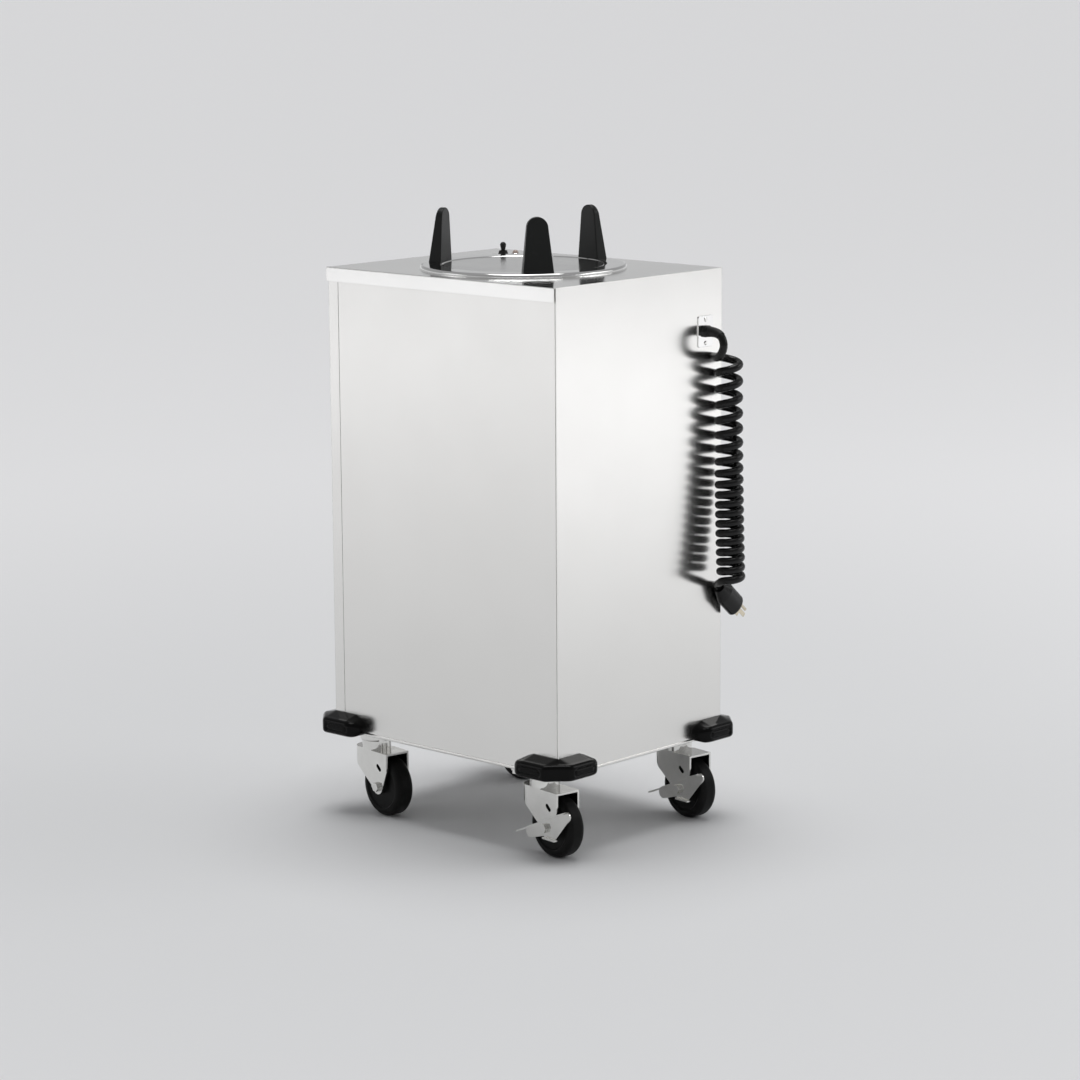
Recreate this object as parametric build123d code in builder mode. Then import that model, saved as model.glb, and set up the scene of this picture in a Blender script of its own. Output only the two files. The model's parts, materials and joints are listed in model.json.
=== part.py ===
from build123d import *
import os
from math import acos, asin, atan2, cos, degrees, hypot, pi, radians, sin, sqrt

os.makedirs("parts", exist_ok=True)

# Mobile heated plate dispenser: a stainless cabinet on four swivel casters with one self-levelling
# plate well. Millimetres and degrees. +Z is up, the floor is Z = 0 and the origin lies under the
# cabinet's centre. The access panel faces -Y and the supply cord hangs on the +X side.

# ---------------------------------------------------------------- driving dimensions: cabinet
CABINET_WIDTH = 480.0
CABINET_DEPTH = 382.0
CABINET_HEIGHT = 734.0
CASTER_HEIGHT = 130.0
SHEET = 1.5
DECK_LIP = 22.0
LIP_PROUD = 3.0
RETURN_FLANGE = 18.0
CORNER_STRIP = 20.0
SEAM = 1.0
HEM_RADIUS = 1.2
PAN_UPSTAND = 25.0
CHANNEL_WIDTH = 104.0
CHANNEL_HEIGHT = 16.0
CHANNEL_SHEET = 2.0
FIT = 0.3

# ---------------------------------------------------------------- driving dimensions: plate well
WELL_RADIUS = 126.0
RING_RADIUS = 159.5
RING_HEIGHT = 5.5
RING_SHEET = 1.5
RING_COLLAR = 14.0
TUBE_WALL = 1.2
TUBE_CLEARANCE = 1.8
TUBE_FOOT_HEIGHT = 22.0
SLOT_FOOT = 22.0
SLOT_WIDTH = 24.0
HANGER_WIDTH = 40.0
HANGER_SHEET = 2.0
WELL_PAN_SHEET = 2.0
WELL_PAN_RIM = 12.0
WELL_LEG_RADIUS = 8.0

# ---------------------------------------------------------------- driving dimensions: carrier and springs
DISC_CLEARANCE = 1.5
DISC_SHEET = 1.5
DISC_SKIRT = 12.0
DISC_BELOW_RING = 1.0
CARRIER_TRAVEL = 480.0
STRAP_RADIUS = 112.0
STRAP_WIDTH = 20.0
STRAP_SHEET = 3.0
SPIDER_SHEET = 4.0
SPIDER_RING_WIDTH = 20.0
ARM_COUNT = 3
SPRING_PITCH_RADIUS = 152.0
SPRING_RADIUS = 7.0
SPRING_WALL = 1.6
SPRING_SPACING = 28.0
SHOE_CLEARANCE = 0.8
SHOE_LENGTH = 16.0
HOOK_RADIUS = 1.6
HOOK_LENGTH = 6.0

# ---------------------------------------------------------------- driving dimensions: plate guides
GUIDE_COUNT = 3
GUIDE_PHASE = 82.0
GUIDE_HEIGHT = 83.0
GUIDE_BASE_WIDTH = 47.0
GUIDE_TOP_WIDTH = 33.0
GUIDE_BASE_DEPTH = 20.0
GUIDE_TOP_DEPTH = 9.0
GUIDE_SETBACK = 2.5
GUIDE_EDGE_RADIUS = 1.6
STUD_RADIUS = 3.0
NUT_RADIUS = 5.8
NUT_HEIGHT = 5.0

# ---------------------------------------------------------------- driving dimensions: heater
HEATER_RADIUS = 85.0
HEATER_TUBE_RADIUS = 4.0
HEATER_STANDOFF = 16.0
HEATER_TERMINAL_SPREAD = 26.0
HEATER_TERMINAL_LENGTH = 34.0
CLIP_RADIUS = 3.0

# ---------------------------------------------------------------- driving dimensions: controls
CONTROL_X = -147.0
CONTROL_Y = 124.0
CONTROL_LENGTH = 56.0
CONTROL_WIDTH = 28.0
CONTROL_SHEET = 1.5
CONTROL_SPACING = 27.0
COLLAR_BASE_RADIUS = 8.0
COLLAR_TOP_RADIUS = 6.2
COLLAR_HEIGHT = 5.0
COLLAR_MOUTH_RADIUS = 5.4
TOGGLE_RADIUS = 3.0
TOGGLE_TIP_RADIUS = 4.9
TOGGLE_HEIGHT = 18.5
TOGGLE_BALL_RADIUS = 4.2
TOGGLE_CLEARANCE = 0.3
SWITCH_WIDTH = 26.0
SWITCH_DEPTH = 18.0
SWITCH_HEIGHT = 32.0
LAMP_BEZEL_RADIUS = 6.6
LAMP_BEZEL_HEIGHT = 2.6
LAMP_LENS_RADIUS = 4.8
LAMP_LENS_HEIGHT = 7.6
LAMP_BODY_LENGTH = 26.0

# ---------------------------------------------------------------- driving dimensions: bumpers
BUMPER_PROUD = 28.0
BUMPER_ARM = 102.0
BUMPER_HEIGHT = 31.0
BUMPER_BAND = 23.0
BUMPER_CHAMFER = 32.0
BUMPER_END_RADIUS = 24.0
BUMPER_CORNER_RADIUS = 9.0
BUMPER_BEVEL = 4.0
BUMPER_EDGE_RADIUS = 5.0
BUMPER_PAD_LENGTH = 44.0
BUMPER_PAD_HEIGHT = 11.0
BUMPER_PAD_DEPTH = 1.2

# ---------------------------------------------------------------- driving dimensions: casters
CASTER_INSET_X = 58.8
CASTER_INSET_Y = 37.3
CASTER_ANGLE = -8.0
CASTER_TRAIL = 30.0
PLATE_LENGTH = 92.0
PLATE_WIDTH = 60.0
PLATE_SHEET = 4.0
BOLT_SPACING_X = 75.0
BOLT_SPACING_Y = 44.0
BOLT_RADIUS = 4.0
BOLT_HEAD_RADIUS = 7.0
BOLT_HEAD_HEIGHT = 5.3
HOLE_CLEARANCE = 0.4
RACE_RADIUS = 26.0
RACE_HEIGHT = 8.0
CROWN_RADIUS = 23.0
CROWN_GAP = 0.4
CROWN_HEIGHT = 13.6
KINGPIN_RADIUS = 6.0
KINGPIN_HEAD_RADIUS = 10.0
KINGPIN_HEAD_HEIGHT = 4.0
RUNNING_FIT = 0.05
FORK_SHEET = 3.0
FORK_FRONT = 40.0
FORK_BACK = 54.0
FORK_APRON_Z = 86.0
FORK_SHOULDER_Z = 75.0
FORK_BOSS_RADIUS = 12.0
FORK_JOGGLE = 2.0
FORK_JOGGLE_AT = 14.0
FORK_SLOT_LENGTH = 14.0
FORK_SLOT_WIDTH = 6.5
FORK_SLOT_TILT = -40.0
FORK_SLOT_X = 34.0
FORK_SLOT_Z = 79.5
WHEEL_RADIUS = 48.0
WHEEL_WIDTH = 31.0
WHEEL_SHOULDER = 9.0
WHEEL_HUB_RADIUS = 12.0
WHEEL_HUB_TAPER = 2.0
WHEEL_HUB_WIDTH = 37.4
WHEEL_DISH_DEPTH = 2.5
WHEEL_DISH_RADIUS = 34.0
WHEEL_SIDE_PLAY = 0.3
AXLE_RADIUS = 4.0
AXLE_HEAD_RADIUS = 7.5
AXLE_HEAD_HEIGHT = 5.5
LEVER_SHEET = 2.5
LEVER_HUB_RADIUS = 14.0
LEVER_WING_REACH = 51.0
LEVER_WING_RISE = 27.0
LEVER_WING_RADIUS = 7.0
LEVER_FOOT_REACH = 19.0
LEVER_FOOT_DROP = 9.0
LEVER_TAB_REACH = 13.0
LEVER_TAB_LENGTH = 28.0
LEVER_TAB_DEPTH = 8.0
LEVER_LOBE_REACH = 36.0
LEVER_LOBE_DROP = 13.0
LEVER_LOBE_RADIUS = 9.5
PEDAL_REACH = 52.0
PEDAL_DROP = 12.0
PEDAL_LENGTH = 21.0
PEDAL_WIDTH = 26.0
PEDAL_PITCH = 22.0

# ---------------------------------------------------------------- driving dimensions: cord and plug
CORD_DIAMETER = 12.5
CORD_SIDES = 8
GLAND_FROM_BACK = 40.0
GLAND_BELOW_DECK = 94.0
GLAND_RADIUS = 10.0
GLAND_NUT_LENGTH = 5.0
GLAND_LENGTH = 10.0
GLAND_PLATE_WIDTH = 34.0
GLAND_PLATE_HEIGHT = 48.0
GLAND_SCREW_SPACING = 36.0
GLAND_SCREW_RADIUS = 3.4
BOX_SIZE_X = 36.0
BOX_SIZE_Y = 62.0
BOX_SIZE_Z = 70.0
COIL_RADIUS = 16.65
COIL_TOP_STANDOFF = 23.6
COIL_LEAN_OUT = 16.4
COIL_BEHIND_GLAND = 28.5
COIL_LEAN_Y = -12.0
COIL_BELOW_GLAND = 44.0
COIL_HALF_TURNS = 38
COIL_HALF_TURN = 176.7
COIL_START_ANGLE = 152.7
COIL_OPEN_PITCH = 25.8
COIL_CLOSED_PITCH = 14.6
COIL_OPEN_TURNS = 12.0
DROP_STANDOFF = 29.3
DROP_BEHIND_GLAND = 8.3
DROP_BELOW_GLAND = 35.6
DROP_AZIMUTH = 146.4
DROP_PITCH = 53.4
PLUG_STANDOFF = 12.6
PLUG_BEHIND_GLAND = 21.3
PLUG_BELOW_GLAND = 400.7
PLUG_PITCH = 41.0
PLUG_LENGTH = 56.0
PLUG_NECK_LENGTH = 18.0
PLUG_NECK_RADIUS = 9.0
PLUG_HALF_THICKNESS = 12.0
PLUG_HALF_WIDTH = 18.0
PLUG_FACE_RADIUS = 5.0
BLADE_SPACING = 12.7
BLADE_WIDTH = 6.4
BLADE_SHEET = 1.5
BLADE_LENGTH = 18.0
GROUND_OFFSET = 11.9
GROUND_RADIUS = 2.4
GROUND_LENGTH = 21.5

# ---------------------------------------------------------------- places worked out from the sizes above
bottom_z = CASTER_HEIGHT
deck_z = bottom_z + CABINET_HEIGHT
right_x = CABINET_WIDTH / 2
left_x = -CABINET_WIDTH / 2 + LIP_PROUD
front_y = -CABINET_DEPTH / 2 + LIP_PROUD
back_y = CABINET_DEPTH / 2 - LIP_PROUD
panel_top = deck_z - SHEET - FIT
ring_z = deck_z + RING_HEIGHT
hanger_z = deck_z - SHEET - HANGER_SHEET
tube_inner = WELL_RADIUS + TUBE_CLEARANCE
tube_outer = tube_inner + TUBE_WALL
disc_radius = WELL_RADIUS - DISC_CLEARANCE
disc_z = ring_z - DISC_BELOW_RING
spring_top = hanger_z - HOOK_LENGTH
tube_bottom = bottom_z + TUBE_FOOT_HEIGHT
slot_low = tube_bottom + SLOT_FOOT
arm_top = slot_low + SHOE_LENGTH + CARRIER_TRAVEL + SPIDER_SHEET
spring_bottom = arm_top + FIT
spring_length = spring_top - spring_bottom
gland_y = back_y - GLAND_FROM_BACK
gland_z = deck_z - GLAND_BELOW_DECK
guide_radius = WELL_RADIUS + GUIDE_SETBACK + GUIDE_BASE_DEPTH / 2
guide_angles = [GUIDE_PHASE + 360 / GUIDE_COUNT * i for i in range(GUIDE_COUNT)]
arm_angles = [GUIDE_PHASE + 180 / GUIDE_COUNT + 360 / ARM_COUNT * i for i in range(ARM_COUNT)]


def export(piece, label):
    """Label a finished sub-part and write its STEP file."""
    piece.part.label = label
    export_step(piece.part, f"parts/{label}.step")


def radial_plane(angle, radius, height):
    """Plane on a vertical radius line: local X is tangential, local Y is up, normal points outwards."""
    a = radians(angle)
    return Plane(
        origin=(radius * cos(a), radius * sin(a), height), x_dir=(-sin(a), cos(a), 0), z_dir=(cos(a), sin(a), 0)
    )


# ================================================================ cabinet sheet metal
# Right side panel: flat side with its front edge showing at the corner and inward returns.
with BuildPart() as side_panel_right:
    with BuildSketch(Plane.XY.offset(bottom_z)):
        with Locations((right_x - SHEET / 2, (front_y + back_y) / 2)):
            Rectangle(SHEET, back_y - front_y)
    extrude(amount=deck_z - bottom_z)
    with BuildSketch(Plane.XY.offset(bottom_z)):
        with Locations((right_x - (SHEET + RETURN_FLANGE) / 2, front_y + SHEET * 1.5 + FIT)):
            Rectangle(SHEET + RETURN_FLANGE, SHEET)
        with Locations((right_x - (SHEET + RETURN_FLANGE) / 2, back_y - SHEET * 1.5 - FIT)):
            Rectangle(SHEET + RETURN_FLANGE, SHEET)
    extrude(amount=panel_top - bottom_z)
    hem = side_panel_right.edges().filter_by(Axis.Y).group_by(Axis.Z)[0].sort_by(Axis.X)[-1]
    fillet(hem, HEM_RADIUS)
    with Locations(Plane(origin=(right_x, gland_y, gland_z), z_dir=(1, 0, 0))):
        Hole(GLAND_RADIUS + FIT, depth=SHEET * 2)
export(side_panel_right, "side_panel_right")

# Left side panel: its front return wraps the corner as a narrow strip and joggles behind the access panel.
strip_end = left_x + CORNER_STRIP
with BuildPart() as side_panel_left:
    with BuildSketch(Plane.XY.offset(bottom_z)):
        with Locations((left_x + SHEET / 2, (front_y + back_y) / 2)):
            Rectangle(SHEET, back_y - front_y)
        with Locations((left_x + CORNER_STRIP / 2, front_y + SHEET / 2)):
            Rectangle(CORNER_STRIP, SHEET)
        with Locations((strip_end - SHEET / 2, front_y + SHEET + FIT / 2)):
            Rectangle(SHEET, SHEET * 2 + FIT)
        with Locations((strip_end - SHEET + RETURN_FLANGE / 2, front_y + SHEET * 1.5 + FIT)):
            Rectangle(RETURN_FLANGE, SHEET)
        with Locations((left_x + (SHEET + RETURN_FLANGE) / 2, back_y - SHEET * 1.5 - FIT)):
            Rectangle(SHEET + RETURN_FLANGE, SHEET)
    extrude(amount=panel_top - bottom_z)
export(side_panel_left, "side_panel_left")

# Access panel on the front, hung between the corner strip and the right side panel's edge.
front_left = strip_end + SEAM
front_right = right_x - SHEET - SEAM
with BuildPart() as front_panel:
    with BuildSketch(Plane.XY.offset(bottom_z)):
        with Locations(((front_left + front_right) / 2, front_y + SHEET / 2)):
            Rectangle(front_right - front_left, SHEET)
    extrude(amount=panel_top - bottom_z)
    fillet(front_panel.edges().filter_by(Axis.X).group_by(Axis.Z)[0].sort_by(Axis.Y)[0], HEM_RADIUS)
export(front_panel, "front_panel")

with BuildPart() as back_panel:
    with BuildSketch(Plane.XY.offset(bottom_z)):
        with Locations(((left_x + right_x) / 2, back_y - SHEET / 2)):
            Rectangle(right_x - left_x - 2 * (SHEET + SEAM), SHEET)
    extrude(amount=panel_top - bottom_z)
    fillet(back_panel.edges().filter_by(Axis.X).group_by(Axis.Z)[0].sort_by(Axis.Y)[-1], HEM_RADIUS)
export(back_panel, "back_panel")

# Base pan: floor of the cabinet with an upstand inside the panels' returns.
pan_left = left_x + SHEET + FIT
pan_right = right_x - SHEET - FIT
pan_front = front_y + 2 * SHEET + 2 * FIT
pan_back = back_y - 2 * SHEET - 2 * FIT
caster_x = CABINET_WIDTH / 2 - CASTER_INSET_X
caster_y = CABINET_DEPTH / 2 - CASTER_INSET_Y
caster_places = {
    "front_left": (-caster_x, -caster_y),
    "front_right": (caster_x, -caster_y),
    "back_left": (-caster_x, caster_y),
    "back_right": (caster_x, caster_y),
}
braked = ["front_right", "back_right"]
bolt_places = [
    (x + i * BOLT_SPACING_X / 2, y + j * BOLT_SPACING_Y / 2)
    for x, y in caster_places.values()
    for i in (-1, 1)
    for j in (-1, 1)
]
with BuildPart() as base_pan:
    with BuildSketch(Plane.XY.offset(bottom_z)):
        with Locations(((pan_left + pan_right) / 2, (pan_front + pan_back) / 2)):
            Rectangle(pan_right - pan_left, pan_back - pan_front)
    extrude(amount=PAN_UPSTAND)
    with BuildSketch(Plane.XY.offset(bottom_z + SHEET)):
        with Locations(((pan_left + pan_right) / 2, (pan_front + pan_back) / 2)):
            Rectangle(pan_right - pan_left - 2 * SHEET, pan_back - pan_front - 2 * SHEET)
    extrude(amount=PAN_UPSTAND, mode=Mode.SUBTRACT)
    with BuildSketch(Plane.XY.offset(bottom_z)):
        with Locations(*bolt_places):
            Circle(BOLT_RADIUS + HOLE_CLEARANCE)
    extrude(amount=SHEET, mode=Mode.SUBTRACT)
export(base_pan, "base_pan")

# Caster channels: two hat channels across the pan that spread the casters' load.
channel_z = bottom_z + SHEET
channel_length = pan_back - pan_front - 2 * SHEET - 2 * FIT
with BuildPart() as caster_channels:
    for side in (-1, 1):
        with BuildSketch(Plane.XZ.offset(-(pan_front + pan_back) / 2)):
            with Locations((side * caster_x, channel_z + CHANNEL_HEIGHT / 2)):
                Rectangle(CHANNEL_WIDTH, CHANNEL_HEIGHT)
            with Locations((side * caster_x, channel_z + (CHANNEL_HEIGHT + CHANNEL_SHEET) / 2)):
                Rectangle(CHANNEL_WIDTH - 2 * CHANNEL_SHEET, CHANNEL_HEIGHT - CHANNEL_SHEET, mode=Mode.SUBTRACT)
        extrude(amount=channel_length / 2, both=True)
    with BuildSketch(Plane.XY.offset(channel_z)):
        with Locations(*bolt_places):
            Circle(BOLT_RADIUS + HOLE_CLEARANCE)
    extrude(amount=CHANNEL_SHEET, mode=Mode.SUBTRACT)
export(caster_channels, "caster_channels")

# Top deck: lips turn down over the front, left and back; the right edge meets the side panel.
deck_left = -CABINET_WIDTH / 2
deck_front = -CABINET_DEPTH / 2
deck_back = CABINET_DEPTH / 2
deck_right = right_x - SHEET - FIT
with BuildPart() as top_deck:
    with BuildSketch(Plane.XY.offset(deck_z)):
        with Locations(((deck_left + deck_right) / 2, 0)):
            Rectangle(deck_right - deck_left, deck_back - deck_front)
    extrude(amount=-DECK_LIP)
    fillet(top_deck.faces().sort_by(Axis.Z)[-1].edges().filter_by(Axis.X).sort_by(Axis.Y)[0], SHEET)
    fillet(top_deck.faces().sort_by(Axis.Z)[-1].edges().filter_by(Axis.Y).sort_by(Axis.X)[0], SHEET)
    with BuildSketch(Plane.XY.offset(deck_z - SHEET)):
        with Locations(((deck_left + SHEET + deck_right) / 2, 0)):
            Rectangle(deck_right - deck_left - SHEET, deck_back - deck_front - 2 * SHEET)
    extrude(amount=-DECK_LIP, mode=Mode.SUBTRACT)
    with BuildSketch(Plane.XY.offset(deck_z)):
        Circle(tube_outer + FIT)
        with Locations((CONTROL_X - CONTROL_SPACING / 2, CONTROL_Y)):
            Circle(COLLAR_TOP_RADIUS)
        with Locations((CONTROL_X + CONTROL_SPACING / 2, CONTROL_Y)):
            Circle(LAMP_LENS_RADIUS + FIT)
        with PolarLocations(guide_radius, GUIDE_COUNT, start_angle=GUIDE_PHASE):
            Circle(STUD_RADIUS + HOLE_CLEARANCE)
    extrude(amount=-DECK_LIP * 2, mode=Mode.SUBTRACT)
export(top_deck, "top_deck")

# ================================================================ plate well
# Dispenser ring: raised flange with a rolled outer edge and a collar that drops into the tube.
with BuildPart() as dispenser_ring:
    with BuildSketch(Plane.XZ):
        with BuildLine():
            roll = RING_HEIGHT - RING_SHEET / 2
            outer_low = (RING_RADIUS, deck_z)
            outer_high = (RING_RADIUS, ring_z - roll)
            flange_out = (RING_RADIUS - roll, ring_z)
            flange_in = (WELL_RADIUS + RING_SHEET * 2, ring_z)
            collar_high = (WELL_RADIUS, ring_z - RING_SHEET * 2)
            collar_low = (WELL_RADIUS, deck_z - RING_COLLAR)
            Line(outer_low, outer_high)
            TangentArc(outer_high, flange_out, tangent=(0, 1))
            Line(flange_out, flange_in)
            TangentArc(flange_in, collar_high, tangent=(-1, 0))
            Line(collar_high, collar_low)
            collar_back = (WELL_RADIUS + RING_SHEET, deck_z - RING_COLLAR)
            Line(collar_low, collar_back)
            bend_low = (WELL_RADIUS + RING_SHEET, ring_z - RING_SHEET * 2)
            bend_high = (WELL_RADIUS + RING_SHEET * 2, ring_z - RING_SHEET)
            Line(collar_back, bend_low)
            TangentArc(bend_low, bend_high, tangent=(0, 1))
            under_out = (RING_RADIUS - roll, ring_z - RING_SHEET)
            Line(bend_high, under_out)
            inner_high = (RING_RADIUS - RING_SHEET, ring_z - roll)
            TangentArc(under_out, inner_high, tangent=(1, 0))
            inner_low = (RING_RADIUS - RING_SHEET, deck_z)
            Line(inner_high, inner_low)
            Line(inner_low, outer_low)
        make_face()
    revolve(axis=Axis.Z)
    with BuildSketch(Plane.XY.offset(ring_z)):
        with PolarLocations(guide_radius, GUIDE_COUNT, start_angle=GUIDE_PHASE):
            Circle(STUD_RADIUS + HOLE_CLEARANCE)
    extrude(amount=-RING_SHEET * 2, mode=Mode.SUBTRACT)
export(dispenser_ring, "dispenser_ring")

# Spring hanger: flat ring under the deck that carries the tube and the springs' hooks.
spring_places = []
for arm_angle in arm_angles:
    a = radians(arm_angle)
    for offset_along in (-SPRING_SPACING / 2, SPRING_SPACING / 2):
        spring_places.append(
            (
                SPRING_PITCH_RADIUS * cos(a) - offset_along * sin(a),
                SPRING_PITCH_RADIUS * sin(a) + offset_along * cos(a),
            )
        )
with BuildPart() as spring_hanger:
    with BuildSketch(Plane.XY.offset(hanger_z)):
        Circle(tube_outer + HANGER_WIDTH)
        Circle(tube_outer, mode=Mode.SUBTRACT)
        with PolarLocations(guide_radius, GUIDE_COUNT, start_angle=GUIDE_PHASE):
            Circle(STUD_RADIUS + HOLE_CLEARANCE, mode=Mode.SUBTRACT)
    extrude(amount=HANGER_SHEET)
export(spring_hanger, "spring_hanger")

# Well tube: a long cylinder with three slots that the carrier's arms run in.
tube_top = deck_z - SHEET
slot_high = arm_top + SHOE_LENGTH
with BuildPart() as guide_tube:
    with BuildSketch(Plane.XY.offset(tube_bottom)):
        Circle(tube_outer)
        Circle(tube_inner, mode=Mode.SUBTRACT)
    extrude(amount=tube_top - tube_bottom)
    for arm_angle in arm_angles:
        with BuildSketch(radial_plane(arm_angle, tube_outer + TUBE_WALL, (slot_low + slot_high) / 2)):
            SlotOverall(slot_high - slot_low, SLOT_WIDTH, rotation=90)
        extrude(amount=-4 * TUBE_WALL, mode=Mode.SUBTRACT)
export(guide_tube, "guide_tube")

# Well pan: closes the tube's foot, reflects the heat upwards and stands on three legs.
terminal_angle = atan2(HEATER_TERMINAL_SPREAD / 2, HEATER_RADIUS)
terminal_x = HEATER_RADIUS * cos(terminal_angle)
terminal_y = HEATER_RADIUS * sin(terminal_angle)
pan_radius = tube_outer + FIT
with BuildPart() as well_pan:
    with BuildSketch(Plane.XY.offset(tube_bottom - WELL_PAN_SHEET)):
        Circle(pan_radius + WELL_PAN_SHEET)
    extrude(amount=WELL_PAN_SHEET)
    with BuildSketch(Plane.XY.offset(tube_bottom)):
        Circle(pan_radius + WELL_PAN_SHEET)
        Circle(pan_radius, mode=Mode.SUBTRACT)
    extrude(amount=WELL_PAN_RIM)
    with BuildSketch(Plane.XY.offset(tube_bottom - WELL_PAN_SHEET)):
        with PolarLocations(pan_radius - WELL_LEG_RADIUS * 2, GUIDE_COUNT, start_angle=GUIDE_PHASE):
            Circle(WELL_LEG_RADIUS)
    extrude(amount=-(tube_bottom - WELL_PAN_SHEET - bottom_z - SHEET))
    with BuildSketch(Plane.XY.offset(tube_bottom)):
        with Locations((terminal_x, -terminal_y), (terminal_x, terminal_y)):
            Circle(HEATER_TUBE_RADIUS + HOLE_CLEARANCE)
    extrude(amount=-WELL_PAN_SHEET, mode=Mode.SUBTRACT)
export(well_pan, "well_pan")

# Heating element: an open ring of sheathed rod whose two ends turn down through the pan.
heater_z = tube_bottom + HEATER_STANDOFF
ring_start = (terminal_x, terminal_y, heater_z)
ring_end = (terminal_x, -terminal_y, heater_z)
with BuildPart() as heater_element:
    with BuildLine():
        ThreePointArc(ring_start, (-HEATER_RADIUS, 0, heater_z), ring_end)
    with BuildSketch(Plane(origin=ring_start, z_dir=(-ring_start[1], ring_start[0], 0))):
        Circle(HEATER_TUBE_RADIUS)
    sweep()
    for end in (ring_start, ring_end):
        with BuildSketch(Plane.XY.offset(heater_z)):
            with Locations((end[0], end[1])):
                Circle(HEATER_TUBE_RADIUS)
        extrude(amount=-HEATER_TERMINAL_LENGTH)
        with Locations(end):
            Sphere(HEATER_TUBE_RADIUS)
export(heater_element, "heater_element")

with BuildPart() as heater_clips:
    with BuildSketch(Plane.XY.offset(tube_bottom)):
        with PolarLocations(HEATER_RADIUS, GUIDE_COUNT, start_angle=180 / GUIDE_COUNT):
            Circle(CLIP_RADIUS)
    extrude(amount=HEATER_STANDOFF - HEATER_TUBE_RADIUS - FIT)
export(heater_clips, "heater_clips")

# ================================================================ self-levelling carrier
with BuildPart() as carrier_disc:
    with BuildSketch(Plane.XY.offset(disc_z - DISC_SKIRT)):
        Circle(disc_radius)
    extrude(amount=DISC_SKIRT)
    fillet(carrier_disc.faces().sort_by(Axis.Z)[-1].edges(), DISC_SHEET)
    with BuildSketch(Plane.XY.offset(disc_z - DISC_SHEET)):
        Circle(disc_radius - DISC_SHEET)
    extrude(amount=-DISC_SKIRT, mode=Mode.SUBTRACT)
export(carrier_disc, "carrier_disc")

# Carrier frame: straps hang the spider under the disc; its arms reach through the tube's slots.
arm_end = SPRING_PITCH_RADIUS + SPRING_RADIUS
with BuildPart() as carrier_frame:
    with BuildSketch(Plane.XY.offset(arm_top - SPIDER_SHEET)):
        Circle(STRAP_RADIUS + STRAP_SHEET)
        Circle(STRAP_RADIUS + STRAP_SHEET - SPIDER_RING_WIDTH, mode=Mode.SUBTRACT)
        for arm_angle in arm_angles:
            a = radians(arm_angle)
            arm_middle = (STRAP_RADIUS + arm_end) / 2
            with Locations(Location((arm_middle * cos(a), arm_middle * sin(a)), arm_angle)):
                Rectangle(arm_end - STRAP_RADIUS, STRAP_WIDTH)
            bar_middle = SPRING_PITCH_RADIUS
            with Locations(Location((bar_middle * cos(a), bar_middle * sin(a)), arm_angle)):
                Rectangle(SPRING_RADIUS * 2, SPRING_SPACING + SPRING_RADIUS * 2)
    extrude(amount=SPIDER_SHEET)
    with BuildSketch(Plane.XY.offset(arm_top)):
        for arm_angle in arm_angles:
            a = radians(arm_angle)
            strap_middle = STRAP_RADIUS + STRAP_SHEET / 2
            with Locations(Location((strap_middle * cos(a), strap_middle * sin(a)), arm_angle)):
                Rectangle(STRAP_SHEET, STRAP_WIDTH)
    extrude(amount=disc_z - DISC_SHEET - arm_top)
export(carrier_frame, "carrier_frame")

# Guide shoes: plastic sleeves on the arms that run in the slots.
with BuildPart() as guide_shoes:
    for arm_angle in arm_angles:
        with BuildSketch(radial_plane(arm_angle, tube_inner - TUBE_WALL, arm_top - SPIDER_SHEET / 2)):
            Rectangle(SLOT_WIDTH - 2 * SHOE_CLEARANCE, SHOE_LENGTH)
            Rectangle(STRAP_WIDTH, SPIDER_SHEET, mode=Mode.SUBTRACT)
        extrude(amount=TUBE_WALL * 3)
export(guide_shoes, "guide_shoes")

# Lift springs: six extension springs in pairs, drawn as their closed sleeves.
with BuildPart() as lift_springs:
    with BuildSketch(Plane.XY.offset(spring_bottom)):
        with Locations(*spring_places):
            Circle(SPRING_RADIUS)
            Circle(SPRING_RADIUS - SPRING_WALL, mode=Mode.SUBTRACT)
    extrude(amount=spring_length)
export(lift_springs, "lift_springs")

with BuildPart() as spring_hooks:
    with BuildSketch(Plane.XY.offset(spring_top)):
        with Locations(*spring_places):
            Circle(SPRING_RADIUS)
    extrude(amount=HOOK_RADIUS)
    with BuildSketch(Plane.XY.offset(spring_top)):
        with Locations(*spring_places):
            Circle(HOOK_RADIUS)
    extrude(amount=HOOK_LENGTH)
export(spring_hooks, "spring_hooks")

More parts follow.
